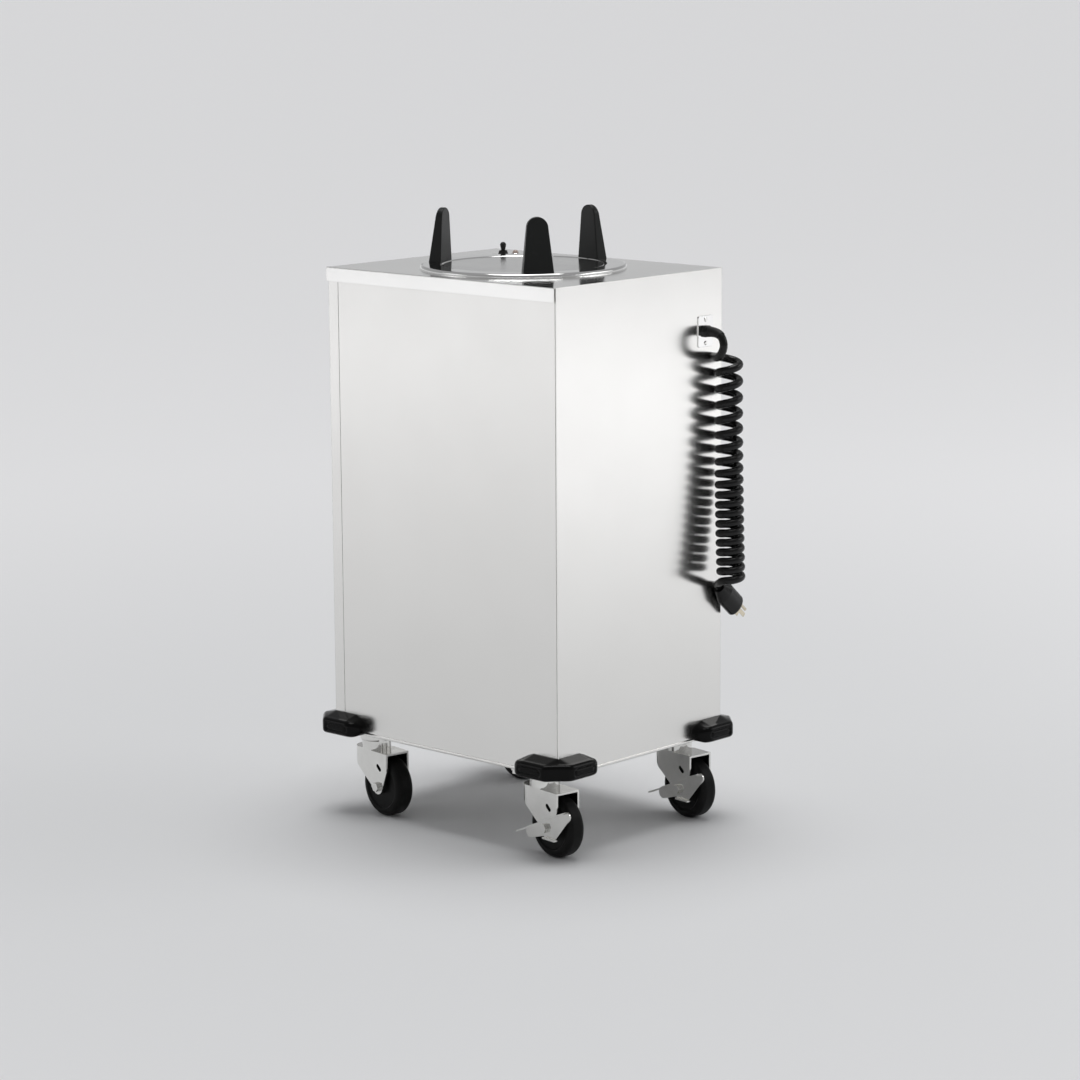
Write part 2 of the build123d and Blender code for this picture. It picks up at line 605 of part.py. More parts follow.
# ================================================================ plate guides
# Each guide is a tapered paddle with a full round top, a flat face towards the plates and a sloping back.
for number, guide_angle in enumerate(guide_angles, start=1):
    face_plane = radial_plane(guide_angle, guide_radius - GUIDE_BASE_DEPTH / 2, ring_z)
    tip_radius = GUIDE_TOP_WIDTH / 2
    shoulder = GUIDE_HEIGHT - tip_radius
    with BuildPart() as plate_guide:
        with BuildSketch(face_plane):
            with BuildLine():
                Line((-GUIDE_BASE_WIDTH / 2, 0), (GUIDE_BASE_WIDTH / 2, 0))
                Line((GUIDE_BASE_WIDTH / 2, 0), (tip_radius, shoulder))
                ThreePointArc((tip_radius, shoulder), (0, GUIDE_HEIGHT), (-tip_radius, shoulder))
                Line((-tip_radius, shoulder), (-GUIDE_BASE_WIDTH / 2, 0))
            make_face()
        extrude(amount=GUIDE_BASE_DEPTH)
        a = radians(guide_angle)
        side_plane = Plane(origin=face_plane.origin, x_dir=(cos(a), sin(a), 0), z_dir=(sin(a), -cos(a), 0))
        with BuildSketch(side_plane):
            with BuildLine():
                Polyline(
                    (0, 0),
                    (GUIDE_BASE_DEPTH, 0),
                    (GUIDE_TOP_DEPTH, GUIDE_HEIGHT),
                    (0, GUIDE_HEIGHT),
                    close=True,
                )
            make_face()
        extrude(amount=GUIDE_BASE_WIDTH, both=True, mode=Mode.INTERSECT)
        fillet(plate_guide.edges().filter_by(lambda e: e.center().Z > ring_z + FIT), GUIDE_EDGE_RADIUS)
    export(plate_guide, f"plate_guide_{number}")

with BuildPart() as guide_studs:
    with BuildSketch(Plane.XY.offset(hanger_z - NUT_HEIGHT)):
        with PolarLocations(guide_radius, GUIDE_COUNT, start_angle=GUIDE_PHASE):
            Circle(STUD_RADIUS)
    extrude(amount=ring_z - hanger_z + NUT_HEIGHT)
    with BuildSketch(Plane.XY.offset(hanger_z - NUT_HEIGHT)):
        with PolarLocations(guide_radius, GUIDE_COUNT, start_angle=GUIDE_PHASE):
            RegularPolygon(NUT_RADIUS, 6)
    extrude(amount=NUT_HEIGHT)
export(guide_studs, "guide_studs")

# ================================================================ controls on the deck
switch_at = (CONTROL_X - CONTROL_SPACING / 2, CONTROL_Y)
lamp_at = (CONTROL_X + CONTROL_SPACING / 2, CONTROL_Y)
plate_z = deck_z + CONTROL_SHEET
with BuildPart() as control_plate:
    with BuildSketch(Plane.XY.offset(deck_z)):
        with Locations((CONTROL_X, CONTROL_Y)):
            RectangleRounded(CONTROL_LENGTH, CONTROL_WIDTH, COLLAR_HEIGHT)
        with Locations(switch_at):
            Circle(COLLAR_TOP_RADIUS, mode=Mode.SUBTRACT)
        with Locations(lamp_at):
            Circle(LAMP_LENS_RADIUS + FIT, mode=Mode.SUBTRACT)
    extrude(amount=CONTROL_SHEET)
export(control_plate, "control_plate")

# Switch collar: flared bush that holds the toggle switch from above.
with BuildPart() as switch_collar:
    with BuildSketch(Plane.XZ.offset(-CONTROL_Y)):
        with BuildLine():
            Polyline(
                (switch_at[0] + COLLAR_MOUTH_RADIUS, plate_z),
                (switch_at[0] + COLLAR_BASE_RADIUS, plate_z),
                (switch_at[0] + COLLAR_TOP_RADIUS, plate_z + COLLAR_HEIGHT),
                (switch_at[0] + COLLAR_MOUTH_RADIUS, plate_z + COLLAR_HEIGHT),
                close=True,
            )
        make_face()
    revolve(axis=Axis((switch_at[0], CONTROL_Y, 0), (0, 0, 1)))
export(switch_collar, "switch_collar")

# Power switch body under the deck, with the socket that the lever's ball turns in.
pivot_z = deck_z - SHEET - TOGGLE_BALL_RADIUS
socket_radius = TOGGLE_BALL_RADIUS + TOGGLE_CLEARANCE
with BuildPart() as switch_body:
    with BuildSketch(Plane.XY.offset(deck_z - SHEET)):
        with Locations(switch_at):
            Rectangle(SWITCH_WIDTH, SWITCH_DEPTH)
    extrude(amount=-SWITCH_HEIGHT)
    with Locations((switch_at[0], switch_at[1], pivot_z)):
        Sphere(socket_radius, mode=Mode.SUBTRACT)
        Cylinder(socket_radius, SWITCH_HEIGHT, align=(Align.CENTER, Align.CENTER, Align.MIN), mode=Mode.SUBTRACT)
export(switch_body, "switch_body")

with BuildPart() as toggle_lever:
    with BuildSketch(Plane.XZ.offset(-CONTROL_Y)):
        with BuildLine():
            tip_z = plate_z + TOGGLE_HEIGHT
            tip_centre_z = tip_z - TOGGLE_TIP_RADIUS
            Line((switch_at[0], pivot_z), (switch_at[0] + TOGGLE_RADIUS, pivot_z))
            Line((switch_at[0] + TOGGLE_RADIUS, pivot_z), (switch_at[0] + TOGGLE_RADIUS, plate_z + COLLAR_HEIGHT))
            Line(
                (switch_at[0] + TOGGLE_RADIUS, plate_z + COLLAR_HEIGHT),
                (switch_at[0] + TOGGLE_TIP_RADIUS, tip_centre_z),
            )
            RadiusArc((switch_at[0] + TOGGLE_TIP_RADIUS, tip_centre_z), (switch_at[0], tip_z), -TOGGLE_TIP_RADIUS)
            Line((switch_at[0], tip_z), (switch_at[0], pivot_z))
        make_face()
    revolve(axis=Axis((switch_at[0], CONTROL_Y, 0), (0, 0, 1)))
    with Locations((switch_at[0], switch_at[1], pivot_z)):
        Sphere(TOGGLE_BALL_RADIUS)
export(toggle_lever, "toggle_lever")

with BuildPart() as lamp_bezel:
    with BuildSketch(Plane.XY.offset(plate_z)):
        with Locations(lamp_at):
            Circle(LAMP_BEZEL_RADIUS)
            Circle(LAMP_LENS_RADIUS + FIT, mode=Mode.SUBTRACT)
    extrude(amount=LAMP_BEZEL_HEIGHT)
    chamfer(lamp_bezel.faces().sort_by(Axis.Z)[-1].outer_wire().edges(), LAMP_BEZEL_HEIGHT / 3)
export(lamp_bezel, "lamp_bezel")

# Pilot lamp: domed lens on a body that hangs under the deck, held by a flange ring.
with BuildPart() as pilot_lamp:
    with Locations((lamp_at[0], lamp_at[1], plate_z + LAMP_LENS_HEIGHT - LAMP_LENS_RADIUS)):
        Sphere(LAMP_LENS_RADIUS)
    with BuildSketch(Plane.XY.offset(plate_z + LAMP_LENS_HEIGHT - LAMP_LENS_RADIUS)):
        with Locations(lamp_at):
            Circle(LAMP_LENS_RADIUS)
    extrude(amount=-LAMP_BODY_LENGTH)
    with BuildSketch(Plane.XY.offset(deck_z - SHEET)):
        with Locations(lamp_at):
            Circle(LAMP_BEZEL_RADIUS)
    extrude(amount=-LAMP_BEZEL_HEIGHT)
export(pilot_lamp, "pilot_lamp")

# ================================================================ cord entry
cord_radius = CORD_DIAMETER / 2
gland_plate_x = right_x + SHEET
with BuildPart() as gland_plate:
    with BuildSketch(Plane(origin=(right_x, gland_y, gland_z), x_dir=(0, 1, 0), z_dir=(1, 0, 0))):
        RectangleRounded(GLAND_PLATE_WIDTH, GLAND_PLATE_HEIGHT, GLAND_SCREW_RADIUS)
        Circle(GLAND_RADIUS - SHEET, mode=Mode.SUBTRACT)
    extrude(amount=SHEET)
export(gland_plate, "gland_plate")

with BuildPart() as gland_screws:
    with BuildSketch(Plane(origin=(gland_plate_x, gland_y, gland_z), x_dir=(0, 1, 0), z_dir=(1, 0, 0))):
        with GridLocations(0, GLAND_SCREW_SPACING, 1, 2):
            Circle(GLAND_SCREW_RADIUS)
    extrude(amount=SHEET, taper=30)
export(gland_screws, "gland_screws")

# Cord gland: hexagon nut and domed cap that grip the cord, with a threaded tail into the box.
gland_face_x = right_x + GLAND_LENGTH
with BuildPart() as cord_gland:
    with BuildSketch(Plane(origin=(gland_plate_x, gland_y, gland_z), x_dir=(0, 1, 0), z_dir=(1, 0, 0))):
        RegularPolygon(GLAND_RADIUS, 6)
    extrude(amount=GLAND_NUT_LENGTH)
    with BuildSketch(Plane(origin=(gland_plate_x + GLAND_NUT_LENGTH, gland_y, gland_z), z_dir=(1, 0, 0))):
        Circle(GLAND_RADIUS - SHEET)
    extrude(amount=gland_face_x - gland_plate_x - GLAND_NUT_LENGTH)
    fillet(cord_gland.faces().sort_by(Axis.X)[-1].edges(), SHEET)
    with BuildSketch(Plane(origin=(gland_plate_x, gland_y, gland_z), z_dir=(1, 0, 0))):
        Circle(GLAND_RADIUS - SHEET - FIT)
    extrude(amount=-(SHEET * 2 + FIT))
export(cord_gland, "cord_gland")

box_outer_x = right_x - SHEET - FIT
with BuildPart() as junction_box:
    with Locations((box_outer_x - BOX_SIZE_X / 2, gland_y, gland_z)):
        Box(BOX_SIZE_X, BOX_SIZE_Y, BOX_SIZE_Z)
    fillet(junction_box.edges().filter_by(Axis.X), GLAND_NUT_LENGTH / 2)
    with Locations((box_outer_x, gland_y, gland_z)):
        Cylinder(
            GLAND_RADIUS - SHEET, SHEET * 4, rotation=(0, 90, 0), mode=Mode.SUBTRACT
        )
export(junction_box, "junction_box")

# ================================================================ curly cord
# One unbroken tube: straight out of the gland, over and down, round the curls and into the plug.
# The curls follow a helix whose axis leans away from the cabinet lower down; each half turn is a
# biarc, two arcs that share a tangent.


def biarc(start, start_heading, end, end_heading):
    """Lay two tangent arcs from start to end with the given headings, and return their radii."""
    chord = end - start
    sum_heading = start_heading + end_heading
    spread = 2 * (1 - start_heading.dot(end_heading))
    along = chord.dot(sum_heading)
    reach = (sqrt(along * along + spread * chord.dot(chord)) - along) / spread
    middle = (start + start_heading * reach + end - end_heading * reach) / 2
    first = TangentArc(start, middle, tangent=start_heading)
    second = TangentArc(middle, end, tangent=first % 1)
    return first.radius, second.radius


def pitch_at(turn):
    """Pitch of the curls, easing from the open ones at the top to the closed ones below."""
    share = min(turn / COIL_OPEN_TURNS, 1.0)
    return COIL_CLOSED_PITCH + (COIL_OPEN_PITCH - COIL_CLOSED_PITCH) * (1 + cos(pi * share)) / 2


steps_per_half = 24
drops = [0.0]
step_turns = COIL_HALF_TURN / 360 / steps_per_half
for step in range(COIL_HALF_TURNS * steps_per_half):
    drops.append(drops[-1] + pitch_at((step + 0.5) * step_turns) * step_turns)


def coil_point(index):
    """Point of the helix after index small steps, going down and clockwise seen from above."""
    angle = radians(COIL_START_ANGLE - COIL_HALF_TURN * index / steps_per_half)
    share = drops[index] / drops[-1]
    axis_x = right_x + COIL_TOP_STANDOFF + COIL_LEAN_OUT * share * share
    axis_y = gland_y + COIL_BEHIND_GLAND + COIL_LEAN_Y * share * share
    axis_z = gland_z - COIL_BELOW_GLAND - drops[index]
    return Vector(axis_x + COIL_RADIUS * cos(angle), axis_y + COIL_RADIUS * sin(angle), axis_z)


def coil_heading(index):
    """Direction of the helix at a step."""
    angle = radians(COIL_START_ANGLE - COIL_HALF_TURN * index / steps_per_half)
    slope = pitch_at(COIL_HALF_TURN * index / steps_per_half / 360) / (2 * pi * COIL_RADIUS)
    return Vector(sin(angle), -cos(angle), -slope).normalized()


cord_start = Vector(gland_face_x, gland_y, gland_z)
cord_straight = cord_start + Vector(CORD_DIAMETER, 0, 0)
drop_point = Vector(right_x + DROP_STANDOFF, gland_y + DROP_BEHIND_GLAND, gland_z - DROP_BELOW_GLAND)
drop_azimuth = radians(DROP_AZIMUTH)
drop_pitch = radians(DROP_PITCH)
drop_heading = Vector(
    cos(drop_pitch) * cos(drop_azimuth), cos(drop_pitch) * sin(drop_azimuth), -sin(drop_pitch)
)
plug_heading = Vector(0, cos(radians(PLUG_PITCH)), -sin(radians(PLUG_PITCH)))
plug_rear = Vector(right_x + PLUG_STANDOFF, gland_y + PLUG_BEHIND_GLAND, gland_z - PLUG_BELOW_GLAND)
tail_point = plug_rear - plug_heading * CORD_DIAMETER

with BuildPart() as power_cord:
    with BuildLine() as cord_route:
        Line(cord_start, cord_straight)
        lead_radii = [
            *biarc(cord_straight, Vector(1, 0, 0), drop_point, drop_heading),
            *biarc(drop_point, drop_heading, coil_point(0), coil_heading(0)),
        ]
        for half in range(COIL_HALF_TURNS):
            low, high = half * steps_per_half, (half + 1) * steps_per_half
            biarc(coil_point(low), coil_heading(low), coil_point(high), coil_heading(high))
        last = COIL_HALF_TURNS * steps_per_half
        tail_radii = biarc(coil_point(last), coil_heading(last), tail_point, plug_heading)
        Line(tail_point, plug_rear)
    with BuildSketch(Plane(origin=cord_start, x_dir=(0, 1, 0), z_dir=(1, 0, 0))):
        RegularPolygon(cord_radius, CORD_SIDES)
    sweep(clean=False)
export(power_cord, "power_cord")

# The cord's own measures: bend radii, length, volume against section times length, and least gap.
route_wire = cord_route.wires()[0]
section_area = CORD_SIDES / 2 * cord_radius * cord_radius * sin(2 * pi / CORD_SIDES)
print("cord bend radii", [round(r, 1) for r in [*lead_radii, *tail_radii]])
print("cord length", round(route_wire.length, 1), "faces", len(power_cord.part.faces()))
print("cord volume ratio", round(power_cord.part.volume / (section_area * route_wire.length), 4))
sample_count = int(route_wire.length / 3)
samples = [route_wire.position_at(i / sample_count) for i in range(sample_count + 1)]
apart = int(CORD_DIAMETER * 2 / 3) + 2
nearest = min(
    (samples[i] - samples[j]).length
    for i in range(sample_count + 1)
    for j in range(i + apart, sample_count + 1)
)
print("cord least gap to itself", round(nearest - CORD_DIAMETER, 2))

# Plug: moulded body that flattens from a round neck, with two blades and a ground pin.


def plug_plane(distance):
    """Plane across the plug at a distance from its rear: local X is along the cabinet's X."""
    return Plane(origin=plug_rear + plug_heading * distance, x_dir=(1, 0, 0), z_dir=plug_heading)


with BuildPart() as plug_body:
    with BuildSketch(plug_plane(0)):
        Circle(PLUG_NECK_RADIUS)
    with BuildSketch(plug_plane(PLUG_NECK_LENGTH)):
        Ellipse(PLUG_HALF_THICKNESS, PLUG_HALF_WIDTH)
    loft()
    with BuildSketch(plug_plane(PLUG_NECK_LENGTH)):
        Ellipse(PLUG_HALF_THICKNESS, PLUG_HALF_WIDTH)
    extrude(amount=PLUG_LENGTH - PLUG_NECK_LENGTH)
    fillet(plug_body.faces().sort_by(Axis(plug_rear, plug_heading))[-1].edges(), PLUG_FACE_RADIUS)
export(plug_body, "plug_body")

with BuildPart() as plug_blades:
    with BuildSketch(plug_plane(PLUG_LENGTH)):
        with GridLocations(BLADE_SPACING, 0, 2, 1):
            with Locations((0, GROUND_OFFSET / 3)):
                Rectangle(BLADE_SHEET, BLADE_WIDTH)
    extrude(amount=BLADE_LENGTH)
    with BuildSketch(plug_plane(PLUG_LENGTH)):
        with Locations((0, GROUND_OFFSET / 3 - GROUND_OFFSET)):
            Circle(GROUND_RADIUS)
    extrude(amount=GROUND_LENGTH)
export(plug_blades, "plug_blades")

# ================================================================ corner bumpers
# Each bumper is an L-shaped moulding: an upright band with a cut corner and recessed pads, and a top that
# slopes up to the cabinet and falls away towards the ends of the arms.


def slope_profile(origin, outward, reach, low, bevel):
    """Face above a slope that falls from full height to low over reach and ends in a bevel."""
    plane = Plane(origin=origin, x_dir=outward, z_dir=outward.cross(Vector(0, 0, 1)))
    fall = (BUMPER_HEIGHT - low) / reach
    edge_z = low + fall * bevel
    with BuildSketch(plane) as above_slope:
        with BuildLine():
            Polyline(
                (0, BUMPER_HEIGHT),
                (reach - bevel, edge_z),
                (reach + bevel, edge_z - 2 * (edge_z - low + bevel)),
                (reach + bevel, BUMPER_HEIGHT * 2),
                (0, BUMPER_HEIGHT * 2),
                close=True,
            )
        make_face()
    return above_slope.sketch


def uprights_at(edges, places):
    """Pick the upright edges that stand at the given plan places."""
    return [
        e
        for e in edges.filter_by(Axis.Z)
        if any(hypot(e.center().X - x, e.center().Y - y) < FIT for x, y in places)
    ]


bumper_z = bottom_z
for corner, (caster_at_x, caster_at_y) in caster_places.items():
    side_x = 1 if caster_at_x > 0 else -1
    side_y = 1 if caster_at_y > 0 else -1
    inner_x = right_x if side_x > 0 else -left_x
    inner_y = back_y if side_y > 0 else -front_y
    outer_x = CABINET_WIDTH / 2 + BUMPER_PROUD
    outer_y = CABINET_DEPTH / 2 + BUMPER_PROUD
    end_x = side_x * (outer_x - BUMPER_ARM)
    end_y = side_y * (outer_y - BUMPER_ARM)
    cut_x = side_x * (outer_x - BUMPER_CHAMFER)
    cut_y = side_y * (outer_y - BUMPER_CHAMFER)
    with BuildPart() as bumper:
        with BuildSketch(Plane.XY.offset(bumper_z)):
            with BuildLine():
                Polyline(
                    (side_x * inner_x, side_y * inner_y),
                    (end_x, side_y * inner_y),
                    (end_x, side_y * outer_y),
                    (cut_x, side_y * outer_y),
                    (side_x * outer_x, cut_y),
                    (side_x * outer_x, end_y),
                    (side_x * inner_x, end_y),
                    close=True,
                )
            make_face()
        extrude(amount=BUMPER_HEIGHT)
        fillet(
            uprights_at(bumper.edges(), [(end_x, side_y * outer_y), (side_x * outer_x, end_y)]), BUMPER_END_RADIUS
        )
        fillet(
            uprights_at(bumper.edges(), [(cut_x, side_y * outer_y), (side_x * outer_x, cut_y)]), BUMPER_CORNER_RADIUS
        )
        reach_x = outer_x - inner_x
        reach_y = outer_y - inner_y
        reach_cut = (reach_x + reach_y - BUMPER_CHAMFER) / sqrt(2)
        wall_corner = Vector(side_x * inner_x, side_y * inner_y, bumper_z)
        along_x = Vector(side_x, 0, 0)
        along_y = Vector(0, side_y, 0)
        diagonal = (along_x + along_y).normalized()
        arm_low = BUMPER_BAND - BUMPER_BEVEL
        arm_end_x = Vector(end_x + side_x * BUMPER_END_RADIUS, 0, bumper_z)
        arm_end_y = Vector(0, end_y + side_y * BUMPER_END_RADIUS, bumper_z)
        slopes = [
            slope_profile(wall_corner, along_x, reach_x, BUMPER_BAND, BUMPER_BEVEL),
            slope_profile(wall_corner, along_y, reach_y, BUMPER_BAND, BUMPER_BEVEL),
            slope_profile(wall_corner, diagonal, reach_cut, BUMPER_BAND, BUMPER_BEVEL),
            slope_profile(arm_end_x, -along_x, BUMPER_END_RADIUS, arm_low, BUMPER_BEVEL),
            slope_profile(arm_end_y, -along_y, BUMPER_END_RADIUS, arm_low, BUMPER_BEVEL),
        ]
        for slope in slopes:
            extrude(slope, amount=BUMPER_ARM * 2, both=True, mode=Mode.SUBTRACT)
        low_rim = [
            e
            for e in bumper.faces().sort_by(Axis.Z)[0].edges()
            if abs(e.center().X) > inner_x + FIT or abs(e.center().Y) > inner_y + FIT
        ]
        fillet(low_rim, BUMPER_EDGE_RADIUS)
        pad_z = bumper_z + BUMPER_BAND / 2
        pad_middle = (BUMPER_ARM + BUMPER_CHAMFER - BUMPER_END_RADIUS / 2) / 2
        x_side_plane = Plane(
            origin=(side_x * outer_x, side_y * (outer_y - pad_middle), pad_z), x_dir=(0, 1, 0), z_dir=along_x
        )
        y_side_plane = Plane(
            origin=(side_x * (outer_x - pad_middle), side_y * outer_y, pad_z), x_dir=(1, 0, 0), z_dir=along_y
        )
        for pad_plane in (x_side_plane, y_side_plane):
            with BuildSketch(pad_plane):
                SlotOverall(BUMPER_PAD_LENGTH, BUMPER_PAD_HEIGHT)
            extrude(amount=-BUMPER_PAD_DEPTH, mode=Mode.SUBTRACT)
    export(bumper, f"bumper_{corner}")

# ================================================================ casters
plate_bottom = bottom_z - PLATE_SHEET
race_bottom = plate_bottom - RACE_HEIGHT
crown_top = race_bottom - CROWN_GAP
fork_top = crown_top - CROWN_HEIGHT
fork_half = WHEEL_HUB_WIDTH / 2 + WHEEL_SIDE_PLAY
fork_outer = fork_half + FORK_SHEET
heading = radians(CASTER_ANGLE)
trail_dir = Vector(cos(heading), sin(heading), 0)
axle_dir = Vector(-sin(heading), cos(heading), 0)


def tangent_point(centre, radius, outside, side):
    """Point where a line from an outside point touches a circle; side picks one of the two."""
    away_x = outside[0] - centre[0]
    away_y = outside[1] - centre[1]
    angle = atan2(away_y, away_x) + side * acos(radius / hypot(away_x, away_y))
    return (centre[0] + radius * cos(angle), centre[1] + radius * sin(angle))


with BuildPart() as caster_bolts:
    with BuildSketch(Plane.XY.offset(plate_bottom)):
        with Locations(*bolt_places):
            RegularPolygon(BOLT_HEAD_RADIUS, 6)
    extrude(amount=-BOLT_HEAD_HEIGHT)
    with BuildSketch(Plane.XY.offset(plate_bottom)):
        with Locations(*bolt_places):
            Circle(BOLT_RADIUS)
    extrude(amount=PLATE_SHEET + SHEET + CHANNEL_SHEET + BOLT_HEAD_HEIGHT)
    with BuildSketch(Plane.XY.offset(channel_z + CHANNEL_SHEET)):
        with Locations(*bolt_places):
            RegularPolygon(BOLT_HEAD_RADIUS, 6)
    extrude(amount=BOLT_HEAD_HEIGHT)
export(caster_bolts, "caster_bolts")

kingpin_bottom = fork_top - FORK_SHEET - CROWN_GAP - KINGPIN_HEAD_HEIGHT
with BuildPart() as kingpins:
    with BuildSketch(Plane.XY.offset(kingpin_bottom)):
        with Locations(*caster_places.values()):
            Circle(KINGPIN_RADIUS)
    extrude(amount=bottom_z - kingpin_bottom)
    with BuildSketch(Plane.XY.offset(kingpin_bottom)):
        with Locations(*caster_places.values()):
            Circle(KINGPIN_HEAD_RADIUS)
    extrude(amount=KINGPIN_HEAD_HEIGHT)
export(kingpins, "kingpins")

for corner, (swivel_x, swivel_y) in caster_places.items():
    pivot = Vector(swivel_x, swivel_y, 0)
    axle_at = pivot + trail_dir * CASTER_TRAIL + Vector(0, 0, WHEEL_RADIUS)
    plan_plane = Plane(origin=pivot, x_dir=trail_dir, z_dir=(0, 0, 1))
    side_plane = Plane(origin=pivot, x_dir=trail_dir, z_dir=-axle_dir)
    has_brake = corner in braked

    # Top plate with the upper race of the swivel bearing.
    with BuildPart() as caster_plate:
        with BuildSketch(Plane.XY.offset(plate_bottom)):
            with Locations((swivel_x, swivel_y)):
                RectangleRounded(PLATE_LENGTH, PLATE_WIDTH, BOLT_HEAD_RADIUS)
                with GridLocations(BOLT_SPACING_X, BOLT_SPACING_Y, 2, 2):
                    Circle(BOLT_RADIUS + HOLE_CLEARANCE, mode=Mode.SUBTRACT)
        extrude(amount=PLATE_SHEET)
        with BuildSketch(Plane.XY.offset(plate_bottom)):
            with Locations((swivel_x, swivel_y)):
                Circle(RACE_RADIUS)
        extrude(amount=-RACE_HEIGHT)
        fillet(caster_plate.faces().sort_by(Axis.Z)[0].edges(), RACE_HEIGHT / 3)
        with Locations((swivel_x, swivel_y, bottom_z)):
            Hole(KINGPIN_RADIUS + RUNNING_FIT, depth=PLATE_SHEET + RACE_HEIGHT)
    export(caster_plate, f"caster_plate_{corner}")

    # Fork: pressed yoke with a half-round apron in front and legs that joggle outwards and taper to the axle.
    with BuildPart() as fork:
        apron_x = fork_outer - FORK_JOGGLE - FORK_FRONT
        leg_low = WHEEL_RADIUS - FORK_BOSS_RADIUS
        with BuildSketch(plan_plane.offset(leg_low)):
            with Locations((apron_x, 0)):
                Circle(fork_outer - FORK_JOGGLE)
            with Locations(((apron_x + FORK_BACK) / 2, 0)):
                Rectangle(FORK_BACK - apron_x, 2 * (fork_outer - FORK_JOGGLE))
            with Locations(((FORK_JOGGLE_AT + FORK_BACK) / 2, 0)):
                Rectangle(FORK_BACK - FORK_JOGGLE_AT, 2 * fork_outer)
        extrude(amount=fork_top - leg_low)
        with BuildSketch(side_plane):
            with BuildLine():
                axle_local = (CASTER_TRAIL, WHEEL_RADIUS)
                apron_low = (-FORK_FRONT, FORK_APRON_Z)
                shoulder = (FORK_BACK, FORK_SHOULDER_Z)
                low_front = tangent_point(axle_local, FORK_BOSS_RADIUS, apron_low, 1)
                low_back = tangent_point(axle_local, FORK_BOSS_RADIUS, shoulder, -1)
                Line((-FORK_FRONT, fork_top), apron_low)
                Line(apron_low, low_front)
                RadiusArc(low_front, low_back, -FORK_BOSS_RADIUS)
                Line(low_back, shoulder)
                Line(shoulder, (FORK_BACK, fork_top))
                Line((FORK_BACK, fork_top), (-FORK_FRONT, fork_top))
            make_face()
        extrude(amount=fork_outer, both=True, mode=Mode.INTERSECT)
        with BuildSketch(plan_plane.offset(fork_top - FORK_SHEET)):
            with Locations((apron_x, 0)):
                Circle(fork_half - FORK_JOGGLE)
            with Locations((apron_x + FORK_BACK, 0)):
                Rectangle(2 * FORK_BACK, 2 * (fork_half - FORK_JOGGLE))
            with Locations((FORK_JOGGLE_AT + FORK_SHEET + FORK_BACK, 0)):
                Rectangle(2 * FORK_BACK, 2 * fork_half)
        extrude(amount=-fork_top, mode=Mode.SUBTRACT)
        with BuildSketch(plan_plane.offset(fork_top)):
            Circle(CROWN_RADIUS)
        extrude(amount=CROWN_HEIGHT)
        with BuildSketch(plan_plane.offset(crown_top)):
            Circle(KINGPIN_RADIUS + RUNNING_FIT)
        extrude(amount=-(CROWN_HEIGHT + FORK_SHEET), mode=Mode.SUBTRACT)
        with BuildSketch(side_plane):
            with Locations(axle_local):
                Circle(AXLE_RADIUS + RUNNING_FIT)
            with Locations(Location((FORK_SLOT_X, FORK_SLOT_Z), FORK_SLOT_TILT)):
                SlotOverall(FORK_SLOT_LENGTH, FORK_SLOT_WIDTH)
        extrude(amount=fork_outer, both=True, mode=Mode.SUBTRACT)
    export(fork, f"fork_{corner}")

    # Wheel: solid tread with rounded shoulders, dished faces and a raised hub, turned about the axle.
    wheel_plane = Plane(origin=axle_at, x_dir=trail_dir, z_dir=(0, 0, 1))
    with BuildPart() as wheel:
        with BuildSketch(wheel_plane):
            with BuildLine():
                half_width = WHEEL_WIDTH / 2
                half_hub = WHEEL_HUB_WIDTH / 2
                dish = half_width - WHEEL_DISH_DEPTH
                bore = AXLE_RADIUS + RUNNING_FIT
                for side in (1, -1):
                    shoulder_in = (WHEEL_RADIUS - WHEEL_SHOULDER, side * half_width)
                    shoulder_out = (WHEEL_RADIUS, side * (half_width - WHEEL_SHOULDER))
                    Polyline(
                        (bore, 0),
                        (bore, side * half_hub),
                        (WHEEL_HUB_RADIUS - WHEEL_HUB_TAPER, side * half_hub),
                        (WHEEL_HUB_RADIUS, side * dish),
                        (WHEEL_DISH_RADIUS, side * dish),
                        (WHEEL_DISH_RADIUS + WHEEL_DISH_DEPTH, side * half_width),
                        shoulder_in,
                    )
                    TangentArc(shoulder_in, shoulder_out, tangent=(1, 0))
                    Line(shoulder_out, (WHEEL_RADIUS, 0))
            make_face()
        revolve(axis=Axis(axle_at, axle_dir))
    export(wheel, f"wheel_{corner}")

    # Axle: bolt through both legs, longer on the brake's side, with its nut outside.
    near_reach = fork_outer + (LEVER_SHEET + 2 * FIT if has_brake else 0)
    with BuildPart() as axle:
        near_end = axle_at - axle_dir * (near_reach + AXLE_HEAD_HEIGHT)
        near_plane = Plane(origin=near_end, x_dir=trail_dir, z_dir=axle_dir)
        with BuildSketch(near_plane):
            Circle(AXLE_RADIUS)
        extrude(amount=near_reach + fork_outer + 2 * AXLE_HEAD_HEIGHT)
        with BuildSketch(near_plane):
            RegularPolygon(AXLE_HEAD_RADIUS, 6)
        extrude(amount=AXLE_HEAD_HEIGHT)
        with BuildSketch(near_plane.offset(near_reach + fork_outer + AXLE_HEAD_HEIGHT)):
            RegularPolygon(AXLE_HEAD_RADIUS, 6)
        extrude(amount=AXLE_HEAD_HEIGHT)
    export(axle, f"axle_{corner}")

    if has_brake:
